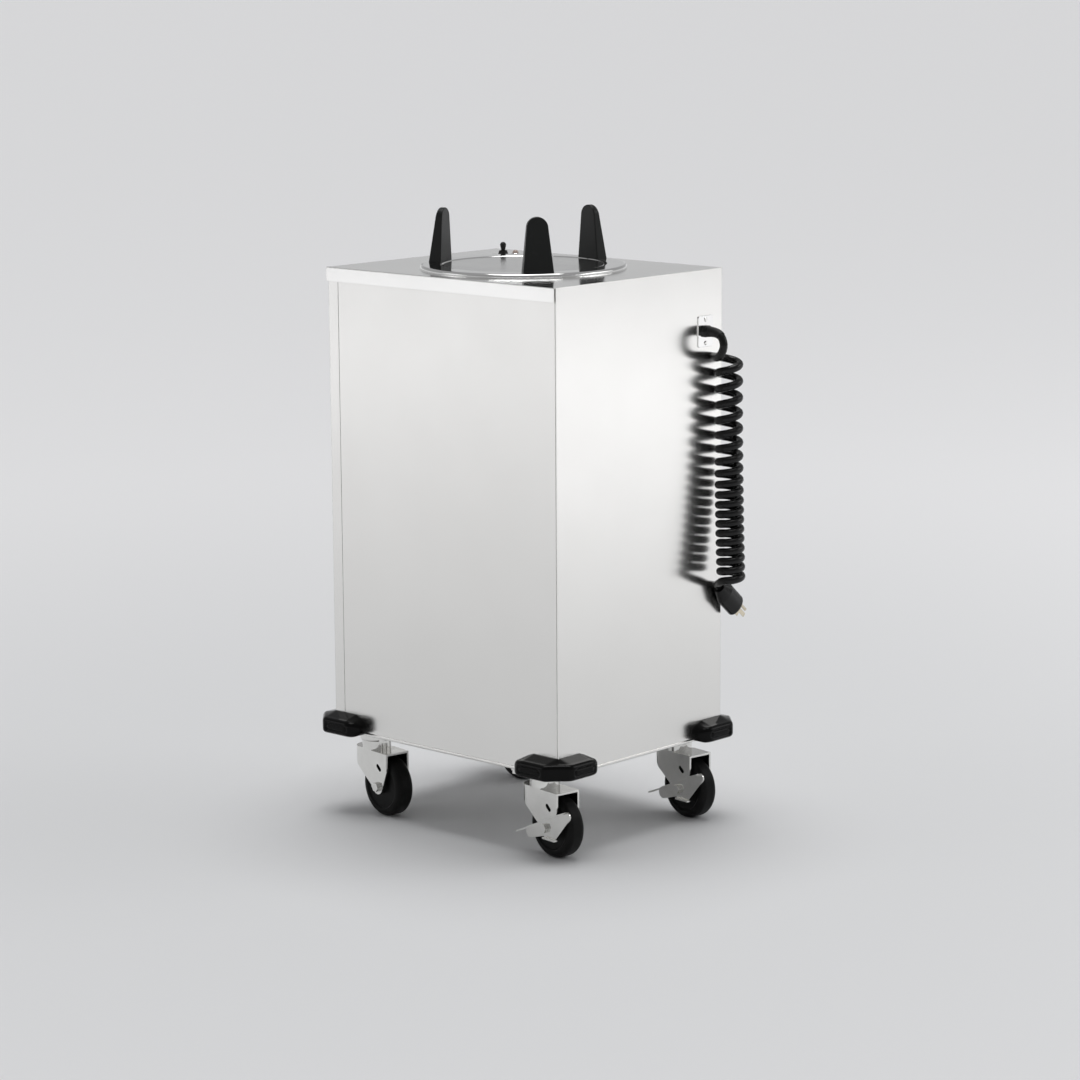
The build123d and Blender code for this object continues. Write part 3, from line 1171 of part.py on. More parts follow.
        # Brake lever: stamped three-armed plate on the axle with folded edges and a foot pedal.
        lever_plane = Plane(
            origin=axle_at - axle_dir * (fork_outer + FIT), x_dir=trail_dir, z_dir=-axle_dir
        )
        with BuildPart() as brake_lever:
            with BuildSketch(lever_plane):
                with BuildSketch(mode=Mode.ADD):
                    Circle(LEVER_HUB_RADIUS)
                    with Locations((LEVER_WING_REACH, LEVER_WING_RISE), (LEVER_FOOT_REACH, -LEVER_FOOT_DROP)):
                        Circle(LEVER_WING_RADIUS)
                    make_hull()
                with BuildSketch(mode=Mode.ADD):
                    Circle(LEVER_HUB_RADIUS - LEVER_SHEET)
                    with Locations((-LEVER_LOBE_REACH, -LEVER_LOBE_DROP)):
                        Circle(LEVER_LOBE_RADIUS)
                    make_hull()
                Circle(AXLE_RADIUS + RUNNING_FIT, mode=Mode.SUBTRACT)
            extrude(amount=LEVER_SHEET)
            wing_length = hypot(LEVER_WING_REACH, LEVER_WING_RISE)
            wing_taper = asin((LEVER_HUB_RADIUS - LEVER_WING_RADIUS) / wing_length)
            wing_angle = degrees(atan2(LEVER_WING_RISE, LEVER_WING_REACH) - wing_taper)
            tab_y = -LEVER_FOOT_DROP - LEVER_WING_RADIUS + LEVER_SHEET / 2
            with BuildSketch(lever_plane):
                with Locations(Location((0, 0), wing_angle)):
                    with Locations(((LEVER_HUB_RADIUS + wing_length) / 2, LEVER_HUB_RADIUS - LEVER_SHEET / 2)):
                        Rectangle(wing_length - LEVER_HUB_RADIUS, LEVER_SHEET)
                with Locations((LEVER_TAB_REACH, tab_y)):
                    Rectangle(LEVER_TAB_LENGTH, LEVER_SHEET)
            extrude(amount=LEVER_TAB_DEPTH)
            pedal_at = Location((-PEDAL_REACH, -PEDAL_DROP), PEDAL_PITCH)
            with BuildSketch(lever_plane):
                with Locations(pedal_at):
                    with Locations(((LEVER_LOBE_RADIUS - PEDAL_LENGTH) / 2, 0)):
                        Rectangle(PEDAL_LENGTH + LEVER_LOBE_RADIUS, LEVER_SHEET)
            extrude(amount=LEVER_SHEET)
            with BuildSketch(lever_plane.offset(LEVER_SHEET)):
                with Locations(pedal_at):
                    with Locations((-PEDAL_LENGTH / 2, 0)):
                        Rectangle(PEDAL_LENGTH, LEVER_SHEET)
            extrude(amount=-PEDAL_WIDTH)
        export(brake_lever, f"brake_lever_{corner}")
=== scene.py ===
"""Looks, light and camera for the mobile heated plate dispenser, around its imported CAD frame."""

import json
import logging
from dataclasses import dataclass
from enum import Enum
from math import cos, pi, radians, sin
from typing import Any, Iterable, Protocol, Sequence

import bmesh
import bpy
from mathutils import Matrix, Vector


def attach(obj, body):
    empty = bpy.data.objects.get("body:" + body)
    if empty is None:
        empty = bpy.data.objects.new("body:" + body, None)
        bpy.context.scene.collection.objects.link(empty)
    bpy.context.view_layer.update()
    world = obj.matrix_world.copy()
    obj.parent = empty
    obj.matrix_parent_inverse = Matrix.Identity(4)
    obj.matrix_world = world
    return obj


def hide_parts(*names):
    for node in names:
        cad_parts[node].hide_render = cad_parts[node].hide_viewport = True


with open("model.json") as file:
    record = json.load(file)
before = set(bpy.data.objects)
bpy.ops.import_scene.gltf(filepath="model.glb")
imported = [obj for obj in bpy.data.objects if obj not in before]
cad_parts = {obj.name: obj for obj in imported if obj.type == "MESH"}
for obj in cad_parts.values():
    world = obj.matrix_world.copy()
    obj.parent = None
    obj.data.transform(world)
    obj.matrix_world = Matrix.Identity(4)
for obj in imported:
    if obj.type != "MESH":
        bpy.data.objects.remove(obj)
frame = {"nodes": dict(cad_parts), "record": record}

LOG = logging.getLogger("scene")
MM = 0.001
WELD = 0.00002
SHARP_ANGLE = radians(50)
Colour = tuple[float, float, float]
Place = tuple[float, float, float]
Pair = tuple[float, float]
Faces = list[tuple[int, ...]]


class Grain(Enum):
    """Direction in which a finish is brushed or drawn, as scales along X, Y and Z."""

    NONE = (1.0, 1.0, 1.0)
    ALONG_X = (0.012, 1.0, 1.0)
    ALONG_Z = (1.0, 1.0, 0.012)


class Op(Enum):
    """Scalar maths used in the shaders."""

    ADD = "ADD"
    SUBTRACT = "SUBTRACT"
    MULTIPLY = "MULTIPLY"
    POWER = "POWER"


class Corner(Enum):
    """Corner of the cabinet, as the side it lies on along X and Y."""

    FRONT_LEFT = (-1, -1)
    FRONT_RIGHT = (1, -1)
    BACK_LEFT = (-1, 1)
    BACK_RIGHT = (1, 1)


class Value:
    """A scalar shader socket that combines with numbers and other sockets by ordinary operators."""

    def __init__(self, graph: "Graph", socket: bpy.types.NodeSocket) -> None:
        """Wraps a socket.

        Args:
            graph: Node graph that owns the socket.
            socket: Output socket to wrap.
        """
        self.graph = graph
        self.socket = socket

    def _join(self, op: Op, left: Any, right: Any, clamp: bool = False) -> "Value":
        """Joins two operands with a maths node.

        Args:
            op: Operation to apply.
            left: First operand.
            right: Second operand.
            clamp: Whether the result is kept from 0 to 1.

        Returns:
            The node's output.
        """
        settings = {"operation": op.value, "use_clamp": clamp}
        return Value(self.graph, self.graph.node("ShaderNodeMath", settings, {0: left, 1: right})[0])

    def __add__(self, other: Any) -> "Value":
        """Adds the other operand."""
        return self._join(Op.ADD, self, other)

    __radd__ = __add__

    def __mul__(self, other: Any) -> "Value":
        """Multiplies by the other operand."""
        return self._join(Op.MULTIPLY, self, other)

    __rmul__ = __mul__

    def __sub__(self, other: Any) -> "Value":
        """Subtracts the other operand."""
        return self._join(Op.SUBTRACT, self, other)

    def __rsub__(self, other: Any) -> "Value":
        """Subtracts this value from the other operand."""
        return self._join(Op.SUBTRACT, other, self)

    def __pow__(self, other: Any) -> "Value":
        """Raises this value to the other operand."""
        return self._join(Op.POWER, self, other)

    def clamped(self) -> "Value":
        """Keeps this value from 0 to 1."""
        return self._join(Op.ADD, self, 0.0, True)

    def band(self, low: float, high: float) -> "Value":
        """Stretches the band from low to high over 0 to 1, with soft ends.

        Args:
            low: Value that becomes 0.
            high: Value that becomes 1.

        Returns:
            The stretched value.
        """
        settings = {"interpolation_type": "SMOOTHSTEP"}
        inputs = {"Value": self, "From Min": low, "From Max": high}
        return Value(self.graph, self.graph.node("ShaderNodeMapRange", settings, inputs)[0])


class Graph:
    """A node tree that is filled by code."""

    BEVEL_SAMPLES = 6
    WORN_BAND = (0.01, 0.2)

    def __init__(self, tree: bpy.types.NodeTree) -> None:
        """Empties a node tree.

        Args:
            tree: Tree to build in.
        """
        self.tree = tree
        tree.nodes.clear()

    def node(self, kind: str, settings: dict[str, Any], inputs: dict[Any, Any]) -> Any:
        """Adds a node and sets or links its inputs.

        Args:
            kind: Blender's type name of the node.
            settings: Attributes to set on the node.
            inputs: Values or sockets by input name or index.

        Returns:
            The node's outputs.
        """
        made = self.tree.nodes.new(kind)
        for name, value in settings.items():
            setattr(made, name, value)
        for key, value in inputs.items():
            if isinstance(value, Value):
                value = value.socket
            if isinstance(value, bpy.types.NodeSocket):
                self.tree.links.new(value, made.inputs[key])
            else:
                made.inputs[key].default_value = value
        return made.outputs

    def mix(self, share: Any, first: Any, second: Any) -> bpy.types.NodeSocket:
        """Mixes two colours.

        Args:
            share: Share of the second colour.
            first: First colour, three numbers or a socket.
            second: Second colour, three numbers or a socket.

        Returns:
            The mixed colour socket.
        """
        ends = [(*c, 1.0) if isinstance(c, tuple) else c for c in (first, second)]
        return self.node("ShaderNodeMix", {"data_type": "RGBA"}, {0: share, 6: ends[0], 7: ends[1]})[2]

    def noise(self, place: Any, scale: float, detail: float = 3.0) -> Value:
        """Adds a noise texture.

        Args:
            place: Vector socket to look the noise up at.
            scale: Scale of the noise, per metre.
            detail: Detail of the noise.

        Returns:
            The noise's factor.
        """
        return Value(self, self.node("ShaderNodeTexNoise", {}, {"Vector": place, "Scale": scale, "Detail": detail})[0])

    def place(self) -> bpy.types.NodeSocket:
        """Gives the position on the object in metres."""
        return self.node("ShaderNodeTexCoord", {}, {})["Object"]

    def stretched(self, place: Any, grain: Grain) -> bpy.types.NodeSocket:
        """Draws a position out along a grain.

        Args:
            place: Vector socket of the position.
            grain: Grain to follow.

        Returns:
            The stretched position.
        """
        return self.node("ShaderNodeVectorMath", {"operation": "MULTIPLY"}, {0: place, 1: grain.value})[0]

    def rounded(self, radius: float) -> bpy.types.NodeSocket:
        """Gives the normal of a surface whose edges are eased.

        Args:
            radius: Radius of the eased edges in metres.

        Returns:
            The eased normal.
        """
        return self.node("ShaderNodeBevel", {"samples": self.BEVEL_SAMPLES}, {"Radius": radius})[0]

    def worn(self, eased: Any) -> Value:
        """Marks the edges, where the eased normal leaves the true one.

        Args:
            eased: Eased normal of the surface.

        Returns:
            0 on the flats, up to 1 along the edges.
        """
        true = self.node("ShaderNodeNewGeometry", {}, {})["True Normal"]
        facing = self.node("ShaderNodeVectorMath", {"operation": "DOT_PRODUCT"}, {0: eased, 1: true})["Value"]
        return (1.0 - Value(self, facing)).band(*self.WORN_BAND)

    def bump(self, height: Value, distance: float, normal: Any) -> bpy.types.NodeSocket:
        """Turns a height into a bumped normal.

        Args:
            height: Height, about 0 to 1.
            distance: What a height of 1 measures, in metres.
            normal: Normal that is bumped.

        Returns:
            The bumped normal.
        """
        inputs = {"Strength": 1.0, "Distance": distance, "Height": height, "Normal": normal}
        return self.node("ShaderNodeBump", {}, inputs)[0]

    def surface(self, inputs: dict[str, Any]) -> None:
        """Ends a material's graph in one principled shader.

        Args:
            inputs: Values or sockets of the shader.
        """
        shader = self.node("ShaderNodeBsdfPrincipled", {}, inputs)[0]
        self.node("ShaderNodeOutputMaterial", {}, {"Surface": shader})


class Finish(Protocol):
    """A finish that can make its material."""

    name: str

    def fill(self, graph: Graph) -> None:
        """Fills a material's graph.

        Args:
            graph: Graph to fill.
        """


@dataclass(frozen=True)
class Metal:
    """Bare metal: grain, cloudy handling marks, a slight ripple and brighter edges."""

    name: str
    light: Colour
    dark: Colour
    roughness: float
    clouding: float = 0.05
    cloud_scale: float = 7.0
    grain: Grain = Grain.NONE
    grain_scale: float = 700.0
    grain_depth: float = 0.00002
    ripple: float = 0.0
    ripple_scale: float = 4.0
    anisotropy: float = 0.0
    edge: float = 0.0006
    marks: Pair = (0.62, 0.78)
    cloud_share: float = 0.65
    streak_share: float = 0.35
    edge_share: float = 0.5
    mark_gloss: float = 0.8
    edge_gloss: float = 0.35

    def fill(self, graph: Graph) -> None:
        """Fills a material's graph.

        Args:
            graph: Graph to fill.
        """
        place = graph.place()
        clouds = graph.noise(place, self.cloud_scale, detail=6.0)
        streaks = graph.noise(graph.stretched(place, self.grain), self.grain_scale, detail=2.0)
        marks = graph.noise(place, self.cloud_scale * 5.0, detail=5.0).band(*self.marks)
        eased = graph.rounded(self.edge)
        edges = graph.worn(eased)
        tone = (clouds * self.cloud_share + streaks * self.streak_share - edges * self.edge_share).clamped()
        rough = self.roughness + (clouds - 0.5) * self.clouding * 2.0 + (streaks - 0.5) * self.clouding
        rough = rough + marks * self.clouding * self.mark_gloss - edges * self.roughness * self.edge_gloss
        ripples = graph.noise(place, self.ripple_scale, detail=1.0)
        normal = graph.bump(streaks, self.grain_depth, eased)
        normal = graph.bump(ripples, self.ripple, normal) if self.ripple else normal
        graph.surface(
            {
                "Base Color": graph.mix(tone, self.light, self.dark),
                "Metallic": 1.0,
                "Roughness": rough.clamped(),
                "Anisotropic": self.anisotropy,
                "Normal": normal,
            }
        )


@dataclass(frozen=True)
class Moulded:
    """Moulded plastic or rubber: fine stipple, cloudy gloss, dust and scuffed edges."""

    name: str
    colour: Colour
    dusty: Colour
    roughness: float
    gloss: float = 0.5
    clouding: float = 0.06
    cloud_scale: float = 22.0
    stipple_scale: float = 1400.0
    stipple: float = 0.00002
    edge: float = 0.001
    wear: float = 0.35
    scuffs: Pair = (0.58, 0.8)
    cloud_share: float = 0.25

    def fill(self, graph: Graph) -> None:
        """Fills a material's graph.

        Args:
            graph: Graph to fill.
        """
        place = graph.place()
        clouds = graph.noise(place, self.cloud_scale, detail=5.0)
        grains = graph.noise(place, self.stipple_scale, detail=2.0)
        scuffs = graph.noise(place, self.cloud_scale * 6.0, detail=4.0).band(*self.scuffs)
        eased = graph.rounded(self.edge)
        edges = graph.worn(eased)
        dust = (clouds * self.cloud_share + scuffs * self.wear + edges * self.wear).clamped()
        rough = self.roughness + (clouds - 0.5) * self.clouding * 2.0 + scuffs * self.clouding
        graph.surface(
            {
                "Base Color": graph.mix(dust, self.colour, self.dusty),
                "Metallic": 0.0,
                "Roughness": rough.clamped(),
                "Specular IOR Level": self.gloss,
                "Normal": graph.bump(grains, self.stipple, eased),
            }
        )


@dataclass(frozen=True)
class LampLens:
    """Clear moulded lens with a faint colour of its own and fine prisms."""

    name: str
    colour: Colour
    deep: Colour
    roughness: float = 0.1
    clouding: float = 0.08
    cloud_scale: float = 90.0
    coat: float = 0.6
    coat_roughness: float = 0.05
    prism_scale: float = 900.0
    prism_depth: float = 0.0002
    edge: float = 0.0004

    def fill(self, graph: Graph) -> None:
        """Fills a material's graph.

        Args:
            graph: Graph to fill.
        """
        place = graph.place()
        prisms = graph.noise(graph.stretched(place, Grain.ALONG_Z), self.prism_scale, detail=1.0)
        clouds = graph.noise(place, self.cloud_scale)
        graph.surface(
            {
                "Base Color": graph.mix(clouds, self.colour, self.deep),
                "Roughness": self.roughness + (clouds - 0.5) * self.clouding,
                "Coat Weight": self.coat,
                "Coat Roughness": self.coat_roughness,
                "Normal": graph.bump(prisms, self.prism_depth, graph.rounded(self.edge)),
            }
        )


@dataclass(frozen=True)
class StudioPaper:
    """Pale floor with painted shade: a little darker near the object than far from it."""

    name: str
    near: Colour
    far: Colour
    reach: Pair = (0.5, 3.6)
    roughness: float = 0.75
    gloss: float = 0.2
    fibre_scale: float = 260.0
    fibre_tone: float = 0.01
    fibre_gloss: float = 0.1

    def fill(self, graph: Graph) -> None:
        """Fills a material's graph.

        Args:
            graph: Graph to fill.
        """
        place = graph.place()
        away = Value(graph, graph.node("ShaderNodeVectorMath", {"operation": "LENGTH"}, {0: place})["Value"])
        fibres = graph.noise(place, self.fibre_scale)
        # Painted shade: the colour runs from the lit far colour down to the darker near colour round the object.
        share = away.band(*self.reach) + (fibres - 0.5) * self.fibre_tone
        graph.surface(
            {
                "Base Color": graph.mix(share.clamped(), self.near, self.far),
                "Roughness": self.roughness + fibres * self.fibre_gloss,
                "Specular IOR Level": self.gloss,
            }
        )


PANEL = Metal(
    "panel_stainless", (0.90, 0.892, 0.872), (0.83, 0.822, 0.80), 0.20, clouding=0.035, grain=Grain.ALONG_Z,
    ripple=0.0005, ripple_scale=3.2, anisotropy=0.55, edge=0.0012,
)
DECK = Metal(
    "deck_stainless", (0.95, 0.945, 0.93), (0.88, 0.875, 0.86), 0.12, clouding=0.03, grain=Grain.ALONG_X,
    ripple=0.0002, edge=0.0012,
)
# Carrier disc: its steel colour is set darker than the deck's as painted shade. It stands in for the shade and dark
# reflections in the recessed ring.
DISC_PAINTED_SHADE = Metal("disc_stainless_painted_shade", (0.66, 0.657, 0.65), (0.56, 0.557, 0.55), 0.14, clouding=0.05, cloud_scale=12.0)
POLISHED = Metal("polished", (0.86, 0.858, 0.85), (0.78, 0.778, 0.77), 0.09, clouding=0.03, cloud_scale=14.0)
ZINC = Metal(
    "zinc", (0.92, 0.915, 0.89), (0.66, 0.655, 0.635), 0.11, clouding=0.06, cloud_scale=60.0, grain_scale=1500.0,
)
DARK_STEEL = Metal("dark_steel", (0.24, 0.22, 0.20), (0.12, 0.11, 0.11), 0.38, clouding=0.1, cloud_scale=50.0)
BRASS = Metal("brass", (0.80, 0.74, 0.60), (0.60, 0.53, 0.40), 0.2, cloud_scale=120.0)
BLACK_PLASTIC = Moulded("black_plastic", (0.006, 0.007, 0.0065), (0.018, 0.019, 0.018), 0.34, gloss=0.3)
WHITE_PLASTIC = Moulded("white_plastic", (0.80, 0.80, 0.77), (0.64, 0.63, 0.60), 0.42)
BLACK_RUBBER = Moulded("black_rubber", (0.008, 0.008, 0.008), (0.04, 0.04, 0.039), 0.5, gloss=0.3)
BUMPER_RUBBER = Moulded(
    "bumper_rubber", (0.002, 0.002, 0.002), (0.008, 0.008, 0.008), 0.1, gloss=0.12, edge=0.003, wear=0.12,
)
TREAD = Moulded("wheel_tread", (0.004, 0.004, 0.004), (0.02, 0.02, 0.019), 0.42, gloss=0.12, cloud_scale=45.0)
CORD_RUBBER = Moulded("cord_rubber", (0.003, 0.003, 0.003), (0.012, 0.012, 0.012), 0.24, gloss=0.32, wear=0.2)
LENS = LampLens("lens", (0.55, 0.47, 0.42), (0.30, 0.16, 0.12))
# The floor's near colour is painted shade round the object; the far colour is the plain lit floor.
FLOOR = StudioPaper("floor", (0.735, 0.74, 0.75), (0.86, 0.86, 0.87))

SLOTS: dict[str, Finish] = {
    "stainless": PANEL,
    "polished": POLISHED,
    "zinc": ZINC,
    "dark_steel": DARK_STEEL,
    "black_plastic": BLACK_PLASTIC,
    "white_plastic": WHITE_PLASTIC,
    "black_rubber": BLACK_RUBBER,
    "bumper_rubber": BUMPER_RUBBER,
    "wheel_tread": TREAD,
    "cord_rubber": CORD_RUBBER,
    "lens": LENS,
    "brass": BRASS,
}
# The carrier disc takes the darker steel, with its painted recess shade.
DRESSED_APART: dict[str, Finish] = {"top_deck": DECK, "carrier_disc": DISC_PAINTED_SHADE}


class Materials:
    """Materials made once and shared."""

    def __init__(self) -> None:
        """Starts with none made."""
        self._made: dict[str, bpy.types.Material] = {}

    def of(self, finish: Finish) -> bpy.types.Material:
        """Gives a finish's material, and makes it the first time.

        Args:
            finish: Finish wanted.

        Returns:
            Its material.
        """
        if finish.name not in self._made:
            material = bpy.data.materials.new(finish.name)
            material.use_nodes = True
            finish.fill(Graph(material.node_tree))
            self._made[finish.name] = material
        return self._made[finish.name]


@dataclass
class CadFinishes:
    """Finishes laid on the carried-over CAD nodes."""

    materials: Materials

    def build(self) -> None:
        """Gives every CAD node its slot's finish."""
        slots = {s["node"]: s["material_slot"] for s in frame["record"]["subparts"]}
        for name, node in sorted(frame["nodes"].items()):
            finish = DRESSED_APART.get(name, SLOTS[slots[name]])
            node.data.materials.clear()
            node.data.materials.append(self.materials.of(finish))
            LOG.info("finish %s on %s", finish.name, name)


def joined_line(name: str, points: Sequence[Vector]) -> bpy.types.Curve:
    """Makes a smooth open curve whose control points are the given ones.

    Args:
        name: Name of the curve.
        points: Control points in metres.

    Returns:
        The curve.
    """
    curve = bpy.data.curves.new(name, "CURVE")
    curve.dimensions = "3D"
    spline = curve.splines.new("NURBS")
    spline.points.add(len(points) - 1)
    for point, place in zip(spline.points, points):
        point.co = (*place, 1.0)
    spline.order_u = 3
    spline.use_endpoint_u = True
    return curve


def linked(name: str, data: bpy.types.ID) -> bpy.types.Object:
    """Makes an object from its data and links it into the scene.

    Args:
        name: Name of the object.
        data: Mesh, curve, light or camera data.

    Returns:
        The object.
    """
    made = bpy.data.objects.new(name, data)
    bpy.context.scene.collection.objects.link(made)
    return made


def ring_faces(rings: int, around: int, closed: bool = False) -> Faces:
    """Joins rings of points, one after the other, by four-sided faces.

    Args:
        rings: Number of rings.
        around: Points in each ring.
        closed: Whether the last ring joins the first.

    Returns:
        The faces, as point numbers.
    """
    faces: Faces = []
    for i in range(rings if closed else rings - 1):
        here, there = i * around, (i + 1) % rings * around
        for j in range(around):
            k = (j + 1) % around
            faces.append((here + j, here + k, there + k, there + j))
    return faces


def mesh_piece(name: str, points: Sequence[Place], faces: Faces, material: bpy.types.Material) -> bpy.types.Object:
    """Makes a smooth-shaded piece from points and faces.

    Args:
        name: Name of the piece.
        points: Points in metres.
        faces: Point numbers of each face.
        material: Material of the piece.

    Returns:
        The piece.
    """
    mesh = bpy.data.meshes.new(name)
    mesh.from_pydata(points, [], faces)
    shape = bmesh.new()
    shape.from_mesh(mesh)
    bmesh.ops.remove_doubles(shape, verts=shape.verts, dist=WELD)
    bmesh.ops.recalc_face_normals(shape, faces=shape.faces)
    shape.to_mesh(mesh)
    shape.free()
    mesh.polygons.foreach_set("use_smooth", [True] * len(mesh.polygons))
    mesh.set_sharp_from_angle(angle=SHARP_ANGLE)
    mesh.materials.append(material)
    return linked(name, mesh)


@dataclass(frozen=True)
class Walls:
    """Outer faces of the cabinet's walls, from its middle, and the height of their foot. Millimetres."""

    left: float = 237.0
    right: float = 240.0
    depth: float = 188.0
    foot: float = 130.0

    def at(self, corner: Corner) -> Pair:
        """Gives the distances from the middle to the two walls that meet at a corner."""
        return (self.right if corner.value[0] > 0 else self.left), self.depth


@dataclass
class CurlyCord:
    """The curly supply cord: a smooth spline through the route's own points. Millimetres and degrees."""

    materials: Materials
    diameter: float = 12.5
    length: float = 2124.8
    lead: tuple[Place, ...] = (
        (250.0, 148.0, 770.0),
        (260.5, 148.0, 770.0),
        (275.1, 146.1, 765.4),
        (282.4, 144.4, 748.4),
        (270.3, 144.3, 730.3),
        (247.3, 157.3, 731.2),
        (247.0, 177.6, 727.6),
    )
    tail: tuple[Place, ...] = (
        (274.5, 147.8, 384.8),
        (267.7, 151.7, 380.8),
        (252.6, 162.5, 375.2),
        (252.6, 169.3, 369.3),
    )
    coil_radius: float = 16.65
    coil_top: Place = (263.6, 176.5, 726.0)
    coil_lean: Pair = (16.4, -12.0)
    half_turns: int = 38
    half_turn: float = 176.7
    start_angle: float = 152.7
    open_pitch: float = 25.8
    closed_pitch: float = 14.6
    open_turns: float = 12.0
    points_per_half: int = 9
    bevel_resolution: int = 5
    resolution: int = 4

    def _pitch(self, turn: float) -> float:
        """Gives the pitch of the curls.

        Args:
            turn: Turns from the top.

        Returns:
            The pitch there.
        """
        share = min(turn / self.open_turns, 1.0)
        return self.closed_pitch + (self.open_pitch - self.closed_pitch) * (1 + cos(pi * share)) / 2

    def _curls(self) -> list[Place]:
        """Lays out the curls, going down and clockwise seen from above.

        Returns:
            Their points.
        """
        step = self.half_turn / 360 / self.points_per_half
        drops = [0.0]
        for i in range(self.half_turns * self.points_per_half):
            drops.append(drops[-1] + self._pitch((i + 0.5) * step) * step)
        points = []
        for i, down in enumerate(drops):
            angle = radians(self.start_angle - 360 * i * step)
            lean = (down / drops[-1]) ** 2
            x = self.coil_top[0] + self.coil_lean[0] * lean + self.coil_radius * cos(angle)
            y = self.coil_top[1] + self.coil_lean[1] * lean + self.coil_radius * sin(angle)
            points.append((x, y, self.coil_top[2] - down))
        return points

    def route(self) -> list[Vector]:
        """Lists the route's points from gland to plug, in metres."""
        return [Vector(p) * MM for p in (*self.lead, *self._curls(), *self.tail)]

    def build(self) -> None:
        route = self.route()
        curve = joined_line("curly_cord", route)
        relief = StrainRelief(self.materials).build(curve)
        curve.bevel_depth = self.diameter * MM / 2
        curve.bevel_resolution = self.bevel_resolution
        curve.resolution_u = self.resolution
        curve.use_fill_caps = True
        curve.materials.append(self.materials.of(CORD_RUBBER))
        cord = linked("curly_cord", curve)
        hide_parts("power_cord")
        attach(cord, "cabinet")
        LOG.info("curly_cord, %.3f m", self.length * MM)


@dataclass
class StrainRelief:
    """Tapered ribbed sleeve round the cord where it leaves the gland. Millimetres."""

    materials: Materials
    length: float = 24.0
    root_radius: float = 8.2
    tip_radius: float = 6.75
    rib_pitch: float = 3.4
    rib_depth: float = 0.5
    rings: int = 44
    sides: int = 28
    start: float = 0.05
    line_resolution: int = 24

    def _line(self, curve: bpy.types.Curve) -> list[Vector]:
        """Reads the cord's smooth line, without its thickness.

        Args:
            curve: The cord's curve before it gets its thickness.

        Returns:
            Points along the line, in metres.
        """
        bare = linked("bare_line", curve)
        curve.resolution_u = self.line_resolution
        mesh = bpy.data.meshes.new_from_object(bare)
        points = [v.co.copy() for v in mesh.vertices]
        bpy.data.objects.remove(bare)
        bpy.data.meshes.remove(mesh)
        return points

    def _frame(self, line: list[Vector], along: float) -> tuple[Vector, Vector]:
        """Finds a place on the line and the direction there.

        Args:
            line: Points of the line.
            along: Distance from its start in metres.

        Returns:
            The place and the unit direction.
        """
        for first, second in zip(line, line[1:]):
            run = (second - first).length
            if along <= run:
                return first.lerp(second, along / run), (second - first).normalized()
            along -= run
        return line[-1], (line[-1] - line[-2]).normalized()

    def build(self, curve: bpy.types.Curve) -> bpy.types.Object:
        """Sweeps the sleeve along the cord.

        Args:
            curve: The cord's curve before it gets its thickness.

        Returns:
            The sleeve.
        """
        line = self._line(curve)
        points: list[Vector] = []
        for ring in range(self.rings):
            share = ring / (self.rings - 1)
            centre, heading = self._frame(line, max(share * self.length, self.start) * MM)
            side = Vector((0, 1, 0)).cross(heading).normalized()
            up = heading.cross(side)
            rib = self.rib_depth * (0.5 + 0.5 * cos(2 * pi * share * self.length / self.rib_pitch))
            radius = (self.root_radius + (self.tip_radius - self.root_radius) * share - rib * (1 - share)) * MM
            for step in range(self.sides):
                angle = 2 * pi * step / self.sides
                points.append(centre + (side * cos(angle) + up * sin(angle)) * radius)
        faces = ring_faces(self.rings, self.sides)
        faces.append(tuple(reversed(range(self.sides))))
        faces.append(tuple(range((self.rings - 1) * self.sides, self.rings * self.sides)))
        mesh = bpy.data.meshes.new("strain_relief")
        mesh.from_pydata(points, [], faces)
        mesh.polygons.foreach_set("use_smooth", [len(f) == 4 for f in faces])
        mesh.materials.append(self.materials.of(BLACK_RUBBER))
        sleeve = linked("strain_relief", mesh)
        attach(sleeve, "cabinet")
        LOG.info("strain_relief")
        return sleeve


@dataclass(frozen=True)
class Step:
    """A step round a bumper: its wall point and outer point, seen from the walls' corner. Millimetres."""

    wall: Pair
    outer: Pair
    tip: float
    pad: float

    @property
    def depth(self) -> float:
        """Distance from the wall point to the outer point."""
        return ((self.outer[0] - self.wall[0]) ** 2 + (self.outer[1] - self.wall[1]) ** 2) ** 0.5


def between(a: Pair, b: Pair, share: float) -> Pair:
    """Finds the point at a share of the way from a to b."""
    return a[0] + (b[0] - a[0]) * share, a[1] + (b[1] - a[1]) * share


def bend(a: Pair, b: Pair, c: Pair, share: float) -> Pair:
    """Finds a point on the soft bend from a to c with its corner at b."""
    return between(between(a, b, share), between(b, c, share), share)


